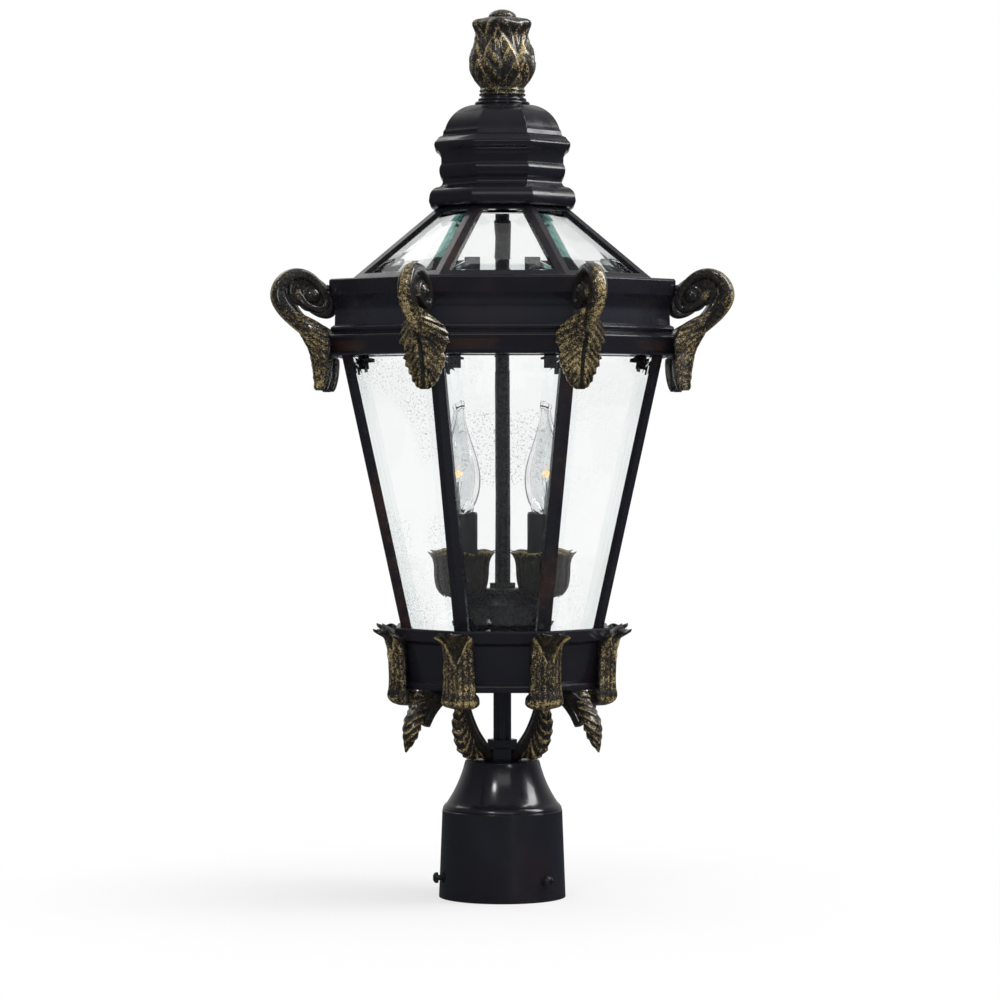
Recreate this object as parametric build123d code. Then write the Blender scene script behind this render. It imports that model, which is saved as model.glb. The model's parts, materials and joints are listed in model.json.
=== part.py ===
from build123d import *

# Post top lantern: an eight-sided glazed lantern carried by four scrolled arms above a round post fitter.
# Millimetres, +Z up. The origin is the centre of the fitter's rim, where the lantern meets its post.
# Flat sides face 0, 45, 90 ... degrees about Z, so corners stand at 22.5, 67.5 ... degrees.

import os
from math import atan2, cos, exp, hypot, pi, radians, sin, sqrt, tan

os.makedirs("parts", exist_ok=True)

# ---------------------------------------------------------------- the plan
SIDES = 8
SIDE_TURN = 360 / SIDES
HALF_TURN = radians(SIDE_TURN / 2)
FAR = 400.0  # longer than anything in the lantern

# ---------------------------------------------------------------- clearances
ROD_FIT = 0.05  # rod in its nuts
ROD_CLEAR = 0.3  # rod through plates
ROD_ROOF_CLEAR = 1.0  # rod through the roof, which lifts off over it
TURN_FIT = 0.08  # finial on its rod, screws in their holes
LAMP_CLEAR = 0.3  # bulb cap in its socket
SEAT_GAP = 0.1  # dropped-in plates and clips

# ---------------------------------------------------------------- post fitter
BORE_R = 40.3
BORE_LENGTH = 62.0
RIM_R = 46.9
SLEEVE_H = 65.0
SLEEVE_TOP_R = 44.4
BELL_H = 36.2
BELL_SHOULDER_R = 41.2
BELL_WAIST_R = 34.1
BELL_TOP_R = 27.7
BELL_WALL = 3.6
BELL_ROOF = 5.0
SEAM_GROOVE = 0.7

SCREW_COUNT = 3
SCREW_FIRST_AZ = 193.0  # degrees about Z
SCREW_Z = 15.0
SCREW_R = 2.0
SCREW_HEAD_R = 4.0
SCREW_HEAD_H = 3.1
SCREW_HEAD_GAP = 2.6
SCREW_TIP_GAP = 0.1
SCREW_SLOT_W = 1.1
SCREW_SLOT_DEPTH = 1.3

# ---------------------------------------------------------------- hub, stem and rod
HUB_W = 25.0
HUB_H = 8.8
HUB_CORNER = 6.0  # corner chamfer that takes an arm
COLLAR_R = 10.9
COLLAR_H = 6.4
STEM_R = 6.6
STEM_H = 39.4
ROD_R = 5.2
ROD_FOOT = 12.0  # rod below the fitter's roof
ROD_IN_FINIAL = 13.0
NUT_R = 8.6
NUT_H = 4.0

# ---------------------------------------------------------------- gallery
GALLERY_H = 44.8
GALLERY_LIP_A = 78.5  # half the width across flats, as is every size ending in A
GALLERY_LIP_H = 8.8
GALLERY_LIP_T = 3.5
GALLERY_FACE_TOP_A = 76.0
GALLERY_FACE_FOOT_A = 71.9
GALLERY_BEAD_A = 74.4
GALLERY_BEAD_H = 6.2
GALLERY_WALL = 3.0
DECK_T = 3.0
DECK_DROP = 3.6  # deck below the lip's top
UPSTAND_H = 2.4
UPSTAND_T = 1.4

# ---------------------------------------------------------------- glazed body
BODY_H = 202.0
BODY_FOOT_A = 73.2
BODY_HEAD_A = 116.4
RAIL_W = 10.8
RAIL_T = 3.6
PANE_T = 4.0
PANE_EDGE_GAP = 2.3
PANE_TOP_GAP = 1.4
BEVEL_W = 12.0
BEVEL_DEPTH = 1.5
CLIP_W = 9.0
CLIP_H = 11.0
CLIP_T = 1.2
CLIP_INSET = 6.0

# ---------------------------------------------------------------- cornice
CORNICE_H = 55.6
CORNICE_BAND_A = 125.4
CORNICE_FOOT_A = 126.1
CORNICE_COVE_A = 121.3
CORNICE_WALL = 3.3
CORNICE_FLANGE_A = 106.0
CORNICE_FLANGE_T = 3.0

# ---------------------------------------------------------------- roof
ROOF_RISE = 54.0
ROOF_FOOT_A = 109.2
ROOF_HEAD_A = 47.0
RIB_W = 10.6
RIB_DROP = 4.2  # upright thickness of a rib
SILL_A = 90.0
SILL_T = 2.4
SILL_KERB = 4.0
ROOF_RING_A = 38.0
ROOF_RING_H = 3.4
TAB_W = 10.8
TAB_LENGTH = 16.0
TAB_T = 1.4
TAB_OFFSET = 21.3

# ---------------------------------------------------------------- cap and its collar
CAP_H = 75.9
CAP_WALL = 3.2
CAP_BASE_A = 53.8
CAP_NECK_A = 43.7
CAP_TORUS_A = 46.2
CAP_CROWN_A = 49.9
CAP_DOME_A = 42.0
CAP_EYE_A = 19.0
NECK_H = 7.0
NECK_FOOT_R = 19.4
NECK_TOP_R = 15.6

# ---------------------------------------------------------------- finial
FINIAL_H = 63.7
FINIAL_FOOT_R = 16.6
FINIAL_BELLY_R = 24.0
FINIAL_WAIST_R = 19.4
FINIAL_LIP_R = 21.6
FINIAL_BUTTON_R = 9.6
FINIAL_PETALS = 5

# ---------------------------------------------------------------- lights
LIGHTS = 4
LIGHT_FIRST_AZ = 45.0
LIGHT_R = 41.5
CAN_R = 33.0
CAN_TOP_R = 22.0
CAN_H = 32.6
CAN_SHOULDER_H = 12.0
CAN_FOOT_R = 34.2
CAN_FOOT_H = 6.0
CAN_WALL = 1.5
BRANCH_R = 3.6
BRANCH_Z = 12.0  # above the deck
BRANCH_BEND_R = 5.5
CUP_Z = 24.0  # cup's foot above the deck
CUP_H = 36.2
CUP_LIP_R = 24.2
CUP_R = 19.5
CUP_WALL = 1.6
CUP_FLOOR = 8.0
CANDLE_R = 12.0
CANDLE_WALL = 1.2
CANDLE_H = 55.4
SOCKET_R = 9.5
SOCKET_H = 51.0
SOCKET_DEPTH = 20.0
BULB_CAP_R = 5.9
BULB_CAP_H = 21.0
BULB_R = 14.0
BULB_H = 85.0
BULB_WALL = 0.8

# ---------------------------------------------------------------- arms
ARM_COUNT = 4
ARM_W = 8.2
ARM_T = 7.8
ARM_WEB_T = 6.4
ARM_REACH = 92.0
ARM_FOOT_RISE = 4.2  # stem's centre line above the fitter, at the hub
ARM_LEAF_W = 10.5
ARM_LEAF_T = 15.0
PENDANT_DROP = 35.0
PENDANT_W = 12.4
PENDANT_T = 11.4

# ---------------------------------------------------------------- gallery leaves
LEAF_W = 25.0
LEAF_HANG = 11.8  # below the gallery
LEAF_FLARE = 16.8
LEAF_TOP_GAP = 1.6

# ---------------------------------------------------------------- cornice scrolls
SCROLL_EYE_OUT = 16.2  # eye beyond the cornice's corner
SCROLL_EYE_Z = 14.1  # eye below the cornice's top
SCROLL_START_R = 22.4
SCROLL_TIGHTEN = 0.0039  # per degree
SCROLL_START = 10.0
SCROLL_END = 392.0
SCROLL_STEP = 22.5
SCROLL_W = 12.0
SCROLL_T = 11.0
SCROLL_WEB_T = 6.0
SCROLL_GAP = 0.1
ACANTHUS_W = 38.0
ACANTHUS_DROP = 25.4  # below the cornice
ACANTHUS_RISE = 24.0  # above its foot
ACANTHUS_T = 2.4
ACANTHUS_CLEAR = 0.3

# ---------------------------------------------------------------- levels
FITTER_TOP = SLEEVE_H + BELL_H
HUB_TOP = FITTER_TOP + HUB_H
COLLAR_TOP = HUB_TOP + COLLAR_H
GALLERY_Z = COLLAR_TOP + STEM_H
GALLERY_TOP = GALLERY_Z + GALLERY_H
DECK_Z = GALLERY_TOP - DECK_DROP
CORNICE_Z = DECK_Z + BODY_H
CORNICE_TOP = CORNICE_Z + CORNICE_H
CAP_Z = CORNICE_TOP + ROOF_RISE
CAP_TOP = CAP_Z + CAP_H
FINIAL_Z = CAP_TOP + NECK_H
ROD_TOP = FINIAL_Z + ROD_IN_FINIAL


def corner(flat):
    """Distance of a corner from the axis, for a side at this distance."""
    return flat / cos(HALF_TURN)


def outline(start, *steps):
    """Face in the upright XZ plane. A step is an end point, or a middle and an end point of an arc."""
    edges = []
    here = start
    for step in steps:
        if isinstance(step[0], tuple):
            edges.append(ThreePointArc(here, *step))
            here = step[1]
        else:
            edges.append(Line(here, step))
            here = step
    edges.append(Line(here, start))
    return Plane.XZ * make_face(edges)


def turned(face):
    """Round body of an upright half section."""
    return revolve(face, Axis.Z)


def around(shape, count, first=0.0):
    """Copies of a shape about the lantern's axis."""
    return [Rot(0, 0, first + 360 * k / count) * shape for k in range(count)]


def wedge():
    """Space of one side of the lantern, from the axis outwards."""
    half = FAR * tan(HALF_TURN)
    plan = make_face(Polyline((0, 0), (FAR, -half), (FAR, half), (0, 0)))
    return extrude(plan, 2 * FAR)


def eight_sided(face):
    """Moulding of this section, mitred round the eight sides."""
    bar = extrude(face, amount=FAR / 2, both=True)
    octants = around(bar & wedge(), SIDES)
    return octants[0].fuse(*octants[1:]).clean()


def octagon(flat, z):
    return Pos(0, 0, z) * RegularPolygon(corner(flat), SIDES, rotation=SIDE_TURN / 2)


def frustum(foot, head, z0, z1):
    return loft([octagon(foot, z0), octagon(head, z1)], ruled=True)


def bar_along(points, widths, depths):
    """Ruled bar along points (x, z) of the upright plane, eight-sided in section."""
    sections = []
    last = len(points) - 1
    for i, (x, z) in enumerate(points):
        x0, z0 = points[max(i - 1, 0)]
        x1, z1 = points[min(i + 1, last)]
        plane = Plane(origin=(x, 0, z), x_dir=(0, 1, 0), z_dir=(x1 - x0, 0, z1 - z0))
        w = widths[i] / 2
        d = depths[i] / 2
        ring = [(w, -d / 2), (w, d / 2), (0.55 * w, d), (-0.55 * w, d)]
        ring += [(-w, d / 2), (-w, -d / 2), (-0.55 * w, -d), (0.55 * w, -d)]
        sections.append(plane * make_face(Polyline(*ring, ring[0])))
    return loft(sections, ruled=True)


def slices(levels):
    """Ruled body through level outlines: (z, [(x, y), ...])."""
    return loft([Pos(0, 0, z) * make_face(Polyline(*ring, ring[0])) for z, ring in levels], ruled=True)


def save(name, *solids):
    """One file per named piece; alike pieces of one name lie side by side in it."""
    shape = solids[0] if len(solids) == 1 else Compound(children=list(solids))
    shape.label = name
    export_step(shape, f"parts/{name}.step")


# ---------------------------------------------------------------- post fitter and its screws
def rim_r(z):
    """Outside of the tapered sleeve."""
    return RIM_R + (SLEEVE_TOP_R - RIM_R) * z / SLEEVE_H


def post_fitter():
    shoulder_z = SLEEVE_H + 4.4
    inner_z = SLEEVE_H + 7.5
    body = turned(
        outline(
            (BORE_R, 0),
            (RIM_R, 0),
            (SLEEVE_TOP_R, SLEEVE_H - 0.8),
            (SLEEVE_TOP_R - SEAM_GROOVE, SLEEVE_H - 0.2),
            (SLEEVE_TOP_R - SEAM_GROOVE / 2, SLEEVE_H + 0.4),
            ((SLEEVE_TOP_R - 1.2, SLEEVE_H + 2.4), (BELL_SHOULDER_R, shoulder_z)),
            ((BELL_WAIST_R, SLEEVE_H + 0.46 * BELL_H), (BELL_TOP_R, FITTER_TOP - 1.6)),
            ((BELL_TOP_R - 0.4, FITTER_TOP - 0.5), (BELL_TOP_R - 1.5, FITTER_TOP)),
            (ROD_R + ROD_CLEAR, FITTER_TOP),
            (ROD_R + ROD_CLEAR, FITTER_TOP - BELL_ROOF),
            (BELL_TOP_R - BELL_WALL - 0.8, FITTER_TOP - BELL_ROOF),
            (BORE_R - BELL_WALL, inner_z),
            (BORE_R - BELL_WALL, BORE_LENGTH),
            (BORE_R, BORE_LENGTH),
        )
    )
    hole = Pos(BORE_R, 0, SCREW_Z) * Rot(0, 90, 0) * Cylinder(SCREW_R + TURN_FIT, 4 * (RIM_R - BORE_R))
    for tapped in around(hole, SCREW_COUNT, SCREW_FIRST_AZ):
        body -= tapped
    return body


def set_screw():
    """Cross-head screw along +X, its tip just inside the fitter's wall."""
    tip = BORE_R + SCREW_TIP_GAP
    seat = rim_r(SCREW_Z) + SCREW_HEAD_GAP
    end = seat + SCREW_HEAD_H
    half = outline(
        (0, tip),
        (SCREW_R - 0.5, tip),
        (SCREW_R, tip + 0.5),
        (SCREW_R, seat),
        (SCREW_HEAD_R, seat),
        (SCREW_HEAD_R, end - 1.6),
        ((SCREW_HEAD_R - 0.9, end - 0.4), (0.1 * SCREW_HEAD_R, end)),
        (0, end),
    )
    screw = turned(half)
    slot = Pos(0, 0, end) * Box(2 * SCREW_HEAD_R - 2.6, SCREW_SLOT_W, 2 * SCREW_SLOT_DEPTH)
    screw = screw - slot - Rot(0, 0, 90) * slot
    return Pos(0, 0, SCREW_Z) * Rot(0, 90, 0) * screw


# ---------------------------------------------------------------- hub, stem, rod and nuts
def pierced(shape, radius):
    return shape - Cylinder(radius, 4 * FAR)


def arm_hub():
    plan = chamfer(Rectangle(HUB_W, HUB_W).vertices(), HUB_CORNER)
    return pierced(Pos(0, 0, FITTER_TOP) * extrude(plan, HUB_H), ROD_R + ROD_CLEAR)


def hub_collar():
    return pierced(Pos(0, 0, HUB_TOP) * extrude(RegularPolygon(COLLAR_R, 6), COLLAR_H), ROD_R + ROD_FIT)


def lower_stem():
    return pierced(Pos(0, 0, COLLAR_TOP + STEM_H / 2) * Cylinder(STEM_R, STEM_H), ROD_R + ROD_CLEAR)


def center_rod():
    foot = FITTER_TOP - BELL_ROOF - ROD_FOOT
    return Pos(0, 0, (foot + ROD_TOP) / 2) * Cylinder(ROD_R, ROD_TOP - foot)


def nut(z):
    return pierced(Pos(0, 0, z) * extrude(RegularPolygon(NUT_R, 6), NUT_H), ROD_R + ROD_FIT)


# ---------------------------------------------------------------- scrolled arms
def scroll_arm():
    """One casting along +X: S-shaped stem, web under the gallery, ribbed leaf and leaf pendant."""
    hub_flat = (HUB_W / 2) * sqrt(2) - HUB_CORNER / sqrt(2)
    foot_z = FITTER_TOP + ARM_FOOT_RISE
    rise = GALLERY_Z - FITTER_TOP
    reach = ARM_REACH - hub_flat

    def placed(shares):
        return [(hub_flat + u * reach, foot_z + v * rise) for u, v in shares]

    spine = [(0, 0), (0.03, 0), (0.08, 0.06), (0.22, 0.27), (0.29, 0.44), (0.345, 0.62), (0.41, 0.77), (0.50, 0.835)]
    spine += [(0.60, 0.82), (0.68, 0.755), (0.775, 0.63), (0.846, 0.49)]
    points = placed(spine)
    stem = bar_along(points, [ARM_W] * len(points), [ARM_T - 1.0] + [ARM_T] * (len(points) - 1))
    under = [(0.42, 0.77), (0.50, 0.835), (0.68, 0.755), (0.775, 0.63), (0.846, 0.49), (0.89, 0.62), (0.90, 0.80)]
    edge = [*placed(under), (GALLERY_FACE_FOOT_A, GALLERY_Z), (placed([(0.44, 0)])[0][0], GALLERY_Z)]
    web = Plane.XZ * make_face(Polyline(*edge, edge[0]))
    stem += extrude(web, ARM_WEB_T / 2, both=True)

    curl = [(0.05, 0.005), (0.128, 0.02), (0.244, 0.057), (0.33, 0.203), (0.38, 0.359), (0.397, 0.469)]
    curl += [(0.395, 0.597), (0.378, 0.689)]
    wide = [0.3, 0.5, 0.8, 1.0, 1.0, 0.95, 0.8, 0.5]
    deep = [0.27, 0.4, 0.73, 1.0, 0.87, 0.77, 0.6, 0.33]
    stem += bar_along(placed(curl), [ARM_LEAF_W * w for w in wide], [ARM_LEAF_T * d for d in deep])

    root_x, root_z = placed([(0.89, 0.78)])[0]
    drop = [(-0.10, 0.04), (0.06, -0.12), (0.22, -0.40), (0.32, -0.72), (0.43, -1.0)]
    path = [(root_x + PENDANT_DROP * u, root_z + PENDANT_DROP * v) for u, v in drop]
    wide = [0.45, 0.9, 1.0, 0.72, 0.12]
    return stem + bar_along(path, [PENDANT_W * w for w in wide], [PENDANT_T * w for w in wide])


# ---------------------------------------------------------------- gallery
def gallery_pan():
    face_z = GALLERY_Z + GALLERY_BEAD_H + 1.0
    lip_z = GALLERY_TOP - GALLERY_LIP_H
    lip_in = GALLERY_LIP_A - GALLERY_LIP_T
    deck_foot = DECK_Z - DECK_T
    floor_z = GALLERY_Z + GALLERY_WALL
    bead_side = GALLERY_BEAD_A - 1.8
    wall = eight_sided(
        outline(
            (GALLERY_FACE_FOOT_A - 6, GALLERY_Z),
            (bead_side, GALLERY_Z),
            ((GALLERY_BEAD_A, GALLERY_Z + GALLERY_BEAD_H / 2), (bead_side, GALLERY_Z + GALLERY_BEAD_H)),
            (GALLERY_FACE_FOOT_A, face_z),
            (GALLERY_FACE_TOP_A, lip_z - 2.6),
            (GALLERY_FACE_TOP_A - 0.8, lip_z - 1.2),
            (GALLERY_LIP_A, lip_z),
            (GALLERY_LIP_A, GALLERY_TOP - 1.2),
            (GALLERY_LIP_A - 0.8, GALLERY_TOP),
            (lip_in, GALLERY_TOP),
            (lip_in, deck_foot),
            (GALLERY_FACE_TOP_A - GALLERY_WALL - 0.6, deck_foot),
            (GALLERY_FACE_FOOT_A - GALLERY_WALL, face_z + 1),
            (GALLERY_FACE_FOOT_A - GALLERY_WALL, floor_z),
            (GALLERY_FACE_FOOT_A - 6, floor_z),
        )
    )
    floor = extrude(octagon(GALLERY_FACE_FOOT_A - 5, GALLERY_Z), GALLERY_WALL)
    return pierced(wall + floor, ROD_R + ROD_CLEAR)


def pane_foot_in():
    """Inner face of a pane at the deck."""
    return BODY_FOOT_A - RAIL_T - PANE_T / cos(atan2(BODY_HEAD_A - BODY_FOOT_A, BODY_H))


def gallery_deck():
    plate = extrude(octagon(GALLERY_LIP_A - GALLERY_LIP_T - SEAT_GAP, DECK_Z - DECK_T), DECK_T)
    outer = pane_foot_in() - SEAT_GAP
    upstand = extrude(octagon(outer, DECK_Z), UPSTAND_H) - extrude(octagon(outer - UPSTAND_T, DECK_Z), UPSTAND_H)
    return pierced(plate + upstand, ROD_R + ROD_CLEAR)


def gallery_leaf():
    """Rolled leaf over a corner of the gallery, along +X: upright ribs, a V fold and a flared top."""
    seat = corner(GALLERY_LIP_A)
    top = GALLERY_TOP - LEAF_TOP_GAP
    foot = GALLERY_Z - LEAF_HANG
    fold_z = top - 19
    # height above the foot, outward bulge over the seat, half width, inner side's offset
    shape = [
        (0.0, -4.0, 0.45, -8.5),
        (0.04, 0.6, 0.72, -9.0),
        (0.12, 3.6, 0.88, -9.0),
        (0.20, 4.3, 0.92, -7.0),
        (0.2152, 4.35, 0.92, 0.0),
        (0.36, 4.2, 0.88, 0.0),
        (0.50, 3.7, 0.86, 0.0),
        (0.64, 3.6, 0.88, 0.0),
        (0.76, 5.6, 0.94, 0.0),
        (0.86, 8.8, 1.0, 0.0),
        (0.94, 13.0, 1.06, 0.0),
        (1.0, LEAF_FLARE, 1.06, 0.0),
    ]
    levels = []
    for part, bulge, wide, tuck in shape:
        z = foot + part * (top - foot)
        half = wide * LEAF_W / 2
        fold = max(0.0, (z - fold_z) / (top - fold_z)) * half * 0.75
        ring = []
        for j in range(-4, 5):
            y = half * j / 4
            across = abs(y) / half
            x = seat + bulge - 3.4 * across**2 - half * across * tan(HALF_TURN) * 0.55
            x += 0.5 if j % 2 else -0.35
            if abs(y) < fold:
                x -= 3.0 * (1 - abs(y) / fold)
            ring.append((x, y))
        for y in (half, half / 2, 0, -half / 2, -half):
            ring.append((seat + tuck - abs(y) * tan(HALF_TURN), y))
        levels.append((z, ring))
    return slices(levels)


# ---------------------------------------------------------------- glazed body
def corner_rail():
    """Bent strip down one corner, along +X at the corner's own angle."""
    outer = frustum(BODY_FOOT_A, BODY_HEAD_A, DECK_Z, CORNICE_Z)
    inner = frustum(BODY_FOOT_A - RAIL_T, BODY_HEAD_A - RAIL_T, DECK_Z, CORNICE_Z)
    shell = Rot(0, 0, SIDE_TURN / 2) * (outer - inner)
    return shell & Pos(FAR / 2, 0, CORNICE_Z / 2) * Box(FAR, RAIL_W, 2 * CORNICE_Z)


def side_plane(foot, head):
    """Plane of a leaning side facing +X, from (x, z) at its foot to its head: local x along the side, y up it."""
    run = head[0] - foot[0]
    rise = head[1] - foot[1]
    return Plane(origin=(foot[0], 0, foot[1]), x_dir=(0, 1, 0), z_dir=(rise, 0, -run))


def bevelled_pane(foot, head):
    """Trapezoid of plate glass with a wide bevel round its outer face, which runs from foot to head (x, z)."""
    length = hypot(head[0] - foot[0], head[1] - foot[1])
    w0 = foot[0] * tan(HALF_TURN) - PANE_EDGE_GAP
    w1 = head[0] * tan(HALF_TURN) - PANE_EDGE_GAP
    edge = make_face(Polyline((-w0, 0), (w0, 0), (w1, length), (-w1, length), (-w0, 0)))
    plate = Pos(0, 0, -PANE_T) * extrude(edge, PANE_T - BEVEL_DEPTH)
    lean = atan2(w1 - w0, length)
    trim = BEVEL_W / cos(lean)
    low = w0 + BEVEL_W * tan(lean) - trim
    high = w1 - BEVEL_W * tan(lean) - trim
    field = make_face(
        Polyline((-low, BEVEL_W), (low, BEVEL_W), (high, length - BEVEL_W), (-high, length - BEVEL_W), (-low, BEVEL_W))
    )
    bevel = loft([Pos(0, 0, -BEVEL_DEPTH) * edge, field], ruled=True)
    return side_plane(foot, head) * (plate + bevel)


def body_line(z):
    """Outer face of the panes at a level."""
    return BODY_FOOT_A - RAIL_T + (BODY_HEAD_A - BODY_FOOT_A) * (z - DECK_Z) / BODY_H


def glass_pane():
    top = CORNICE_Z - PANE_TOP_GAP
    return bevelled_pane((body_line(DECK_Z), DECK_Z), (body_line(top), top))


def glass_clips():
    """Two tabs behind the head of one pane, hanging from the cornice."""
    foot = (body_line(DECK_Z), DECK_Z)
    head = (body_line(CORNICE_Z), CORNICE_Z)
    length = hypot(head[0] - foot[0], head[1] - foot[1])
    side = head[0] * tan(HALF_TURN) - PANE_EDGE_GAP - CLIP_INSET - CLIP_W / 2
    below = Pos(0, 0, CORNICE_Z - FAR) * Box(4 * FAR, 4 * FAR, 2 * FAR)
    tabs = []
    for y in (-side, side):
        tab = Pos(y, length - CLIP_H / 2 + 1, -PANE_T - SEAT_GAP - CLIP_T / 2) * Box(CLIP_W, CLIP_H + 2, CLIP_T)
        tabs.append(side_plane(foot, head) * tab & below)
    return tabs


# ---------------------------------------------------------------- cornice
def cornice_ring():
    z = CORNICE_Z
    top = CORNICE_TOP
    inside = CORNICE_COVE_A - CORNICE_WALL
    return eight_sided(
        outline(
            (CORNICE_FLANGE_A, z),
            (CORNICE_FOOT_A - 5.4, z),
            ((CORNICE_FOOT_A - 1.9, z + 1.2), (CORNICE_FOOT_A - 0.5, z + 3.6)),
            (CORNICE_FOOT_A, z + 12),
            ((CORNICE_FOOT_A - 0.6, z + 14.4), (CORNICE_FOOT_A - 2.8, z + 16)),
            (CORNICE_FOOT_A - 2.8, z + 17.2),
            ((CORNICE_FOOT_A - 1.7, z + 19.2), (CORNICE_FOOT_A - 2.8, z + 21.2)),
            (CORNICE_COVE_A + 0.2, z + 22),
            (CORNICE_COVE_A, z + 28),
            ((CORNICE_COVE_A + 0.9, top - 17.5), (CORNICE_BAND_A, top - 12)),
            (CORNICE_BAND_A, top - 2),
            ((CORNICE_BAND_A - 0.6, top - 0.6), (CORNICE_BAND_A - 2, top)),
            (CORNICE_FLANGE_A - 10, top),
            (CORNICE_FLANGE_A - 10, top - CORNICE_FLANGE_T),
            (inside, top - CORNICE_FLANGE_T),
            (inside, z + CORNICE_FLANGE_T),
            (CORNICE_FLANGE_A, z + CORNICE_FLANGE_T),
        )
    )


def corner_scroll():
    """Scroll and acanthus leaf over a corner of the cornice, along +X at the corner's own angle."""
    seat = corner(CORNICE_BAND_A)
    eye = (seat + SCROLL_EYE_OUT, CORNICE_TOP - SCROLL_EYE_Z)
    # S-shaped neck from the leaf up to the start of the volute, as offsets from the eye
    neck = [(-7.5, -31.0), (-4.0, -26.5), (1.5, -23.0), (8.7, -17.2), (16.4, -10.0), (21.4, -3.2)]
    points = [(eye[0] + x, eye[1] + z) for x, z in neck]
    widths = [0.5 * SCROLL_W, 0.75 * SCROLL_W, 0.9 * SCROLL_W] + [SCROLL_W] * 3
    depths = [0.5 * SCROLL_T, 0.9 * SCROLL_T, 1.05 * SCROLL_T] + [SCROLL_T] * 3
    turn = SCROLL_START
    while turn <= SCROLL_END:
        shrink = exp(-SCROLL_TIGHTEN * (turn - SCROLL_START))
        reach = SCROLL_START_R * shrink
        points.append((eye[0] + reach * cos(radians(turn)), eye[1] + reach * sin(radians(turn))))
        widths.append(SCROLL_W * (0.45 + 0.55 * shrink))
        depths.append(SCROLL_T * shrink**0.75)
        turn += SCROLL_STEP
    strip = bar_along(points, widths, depths)
    web_r = SCROLL_START_R * exp(-SCROLL_TIGHTEN * 170)
    web = Pos(eye[0], 0, eye[1]) * Rot(90, 0, 0) * Cylinder(web_r, SCROLL_WEB_T)
    boss = Pos(eye[0], 0, eye[1]) * Rot(90, 0, 0) * Cylinder(0.2 * SCROLL_START_R, 0.8 * SCROLL_W)
    knob_z = CORNICE_TOP - 7.0
    knob_l = eye[0] - web_r - seat + 3
    knob = Pos(seat + SCROLL_GAP + knob_l / 2, 0, knob_z) * Rot(0, 90, 0) * Cylinder(2.6, knob_l)
    return strip + web + boss + knob + acanthus()


def acanthus():
    """Leaf that stands out from the cornice on a raised midrib, with a tongue behind it, as level slices."""
    face = corner(CORNICE_FOOT_A)
    tip_z = CORNICE_Z - ACANTHUS_DROP
    height = CORNICE_Z + ACANTHUS_RISE - tip_z
    under = (ACANTHUS_DROP - ACANTHUS_CLEAR) / height
    # part of the height, midrib, edge and back beyond the corner, half width
    shape = [
        (0.0, 8.2, 6.6, 1.4, 0.14),
        (0.07, 9.2, 6.8, -1.0, 0.36),
        (0.24, 10.0, 6.0, -2.4, 0.62),
        (0.40, 11.0, 5.8, -2.6, 0.80),
        (under - 0.04, 11.8, 6.0, -2.4, 0.81),
        (under, 12.3, 6.2, SCROLL_GAP, 0.81),
        (0.617, 14.6, 6.6, SCROLL_GAP, 0.84),
        (0.72, 17.6, 6.8, SCROLL_GAP, 0.99),
        (0.84, 20.0, 7.4, 1.0, 1.0),
        (0.93, 22.0, 10.2, 7.0, 0.84),
        (1.0, 24.0, 14.4, 11.2, 0.55),
    ]
    slope = tan(HALF_TURN)
    levels = []
    for part, rib, edge, back, wide in shape:
        half = wide * ACANTHUS_W / 2
        ring = []
        for across in (-1.0, -0.72, -0.42, -0.14, 0.14, 0.42, 0.72, 1.0):
            ring.append((face + edge + (rib - edge) * (1 - abs(across)) ** 1.2, across * half))
        behind = face + min(edge - ACANTHUS_T, rib - ACANTHUS_T)
        for across in (1.0, 0.4, 0.0, -0.4, -1.0):
            inner = behind if abs(across) == 1.0 else face + back - abs(across) * half * slope
            ring.append((inner, across * half))
        levels.append((tip_z + part * height, ring))
    return slices(levels)


# ---------------------------------------------------------------- roof
def roof_line(z):
    """Outer face of the ribs at a level."""
    return ROOF_FOOT_A - (ROOF_FOOT_A - ROOF_HEAD_A) * (z - CORNICE_TOP) / ROOF_RISE


def roof_frame():
    outer = frustum(ROOF_FOOT_A, ROOF_HEAD_A, CORNICE_TOP, CAP_Z)
    shell = outer - Pos(0, 0, -RIB_DROP) * outer - extrude(octagon(ROOF_RING_A, 0), 2 * FAR)
    length = 2 * FAR
    frame = eight_sided(
        outline(
            (SILL_A, CORNICE_TOP),
            (ROOF_FOOT_A, CORNICE_TOP),
            (roof_line(CORNICE_TOP + SILL_KERB), CORNICE_TOP + SILL_KERB),
            (roof_line(CORNICE_TOP + SILL_KERB + RIB_DROP) + SEAT_GAP, CORNICE_TOP + SILL_KERB),
            (roof_line(CORNICE_TOP + SILL_KERB + RIB_DROP) + SEAT_GAP, CORNICE_TOP + SILL_T),
            (SILL_A, CORNICE_TOP + SILL_T),
        )
    )
    frame += eight_sided(
        outline(
            (ROOF_RING_A, CAP_Z - ROOF_RING_H),
            (roof_line(CAP_Z - ROOF_RING_H), CAP_Z - ROOF_RING_H),
            (ROOF_HEAD_A, CAP_Z),
            (ROOF_RING_A, CAP_Z),
        )
    )
    strip = Pos(FAR / 2, 0, CAP_Z) * Box(FAR, RIB_W, length)
    for bar in around(strip, SIDES, SIDE_TURN / 2):
        frame += shell & bar
    return frame


def roof_pane_line():
    """Foot and head (x, z) of a roof pane's outer face, its inner edge standing on the sill."""
    slope = atan2(ROOF_RISE, ROOF_FOOT_A - ROOF_HEAD_A)
    foot_z = CORNICE_TOP + SILL_T + PANE_T * cos(slope)
    head_z = CAP_Z - ROOF_RING_H - PANE_TOP_GAP
    return (roof_line(foot_z + RIB_DROP), foot_z), (roof_line(head_z + RIB_DROP), head_z)


def roof_pane():
    return bevelled_pane(*roof_pane_line())


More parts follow.
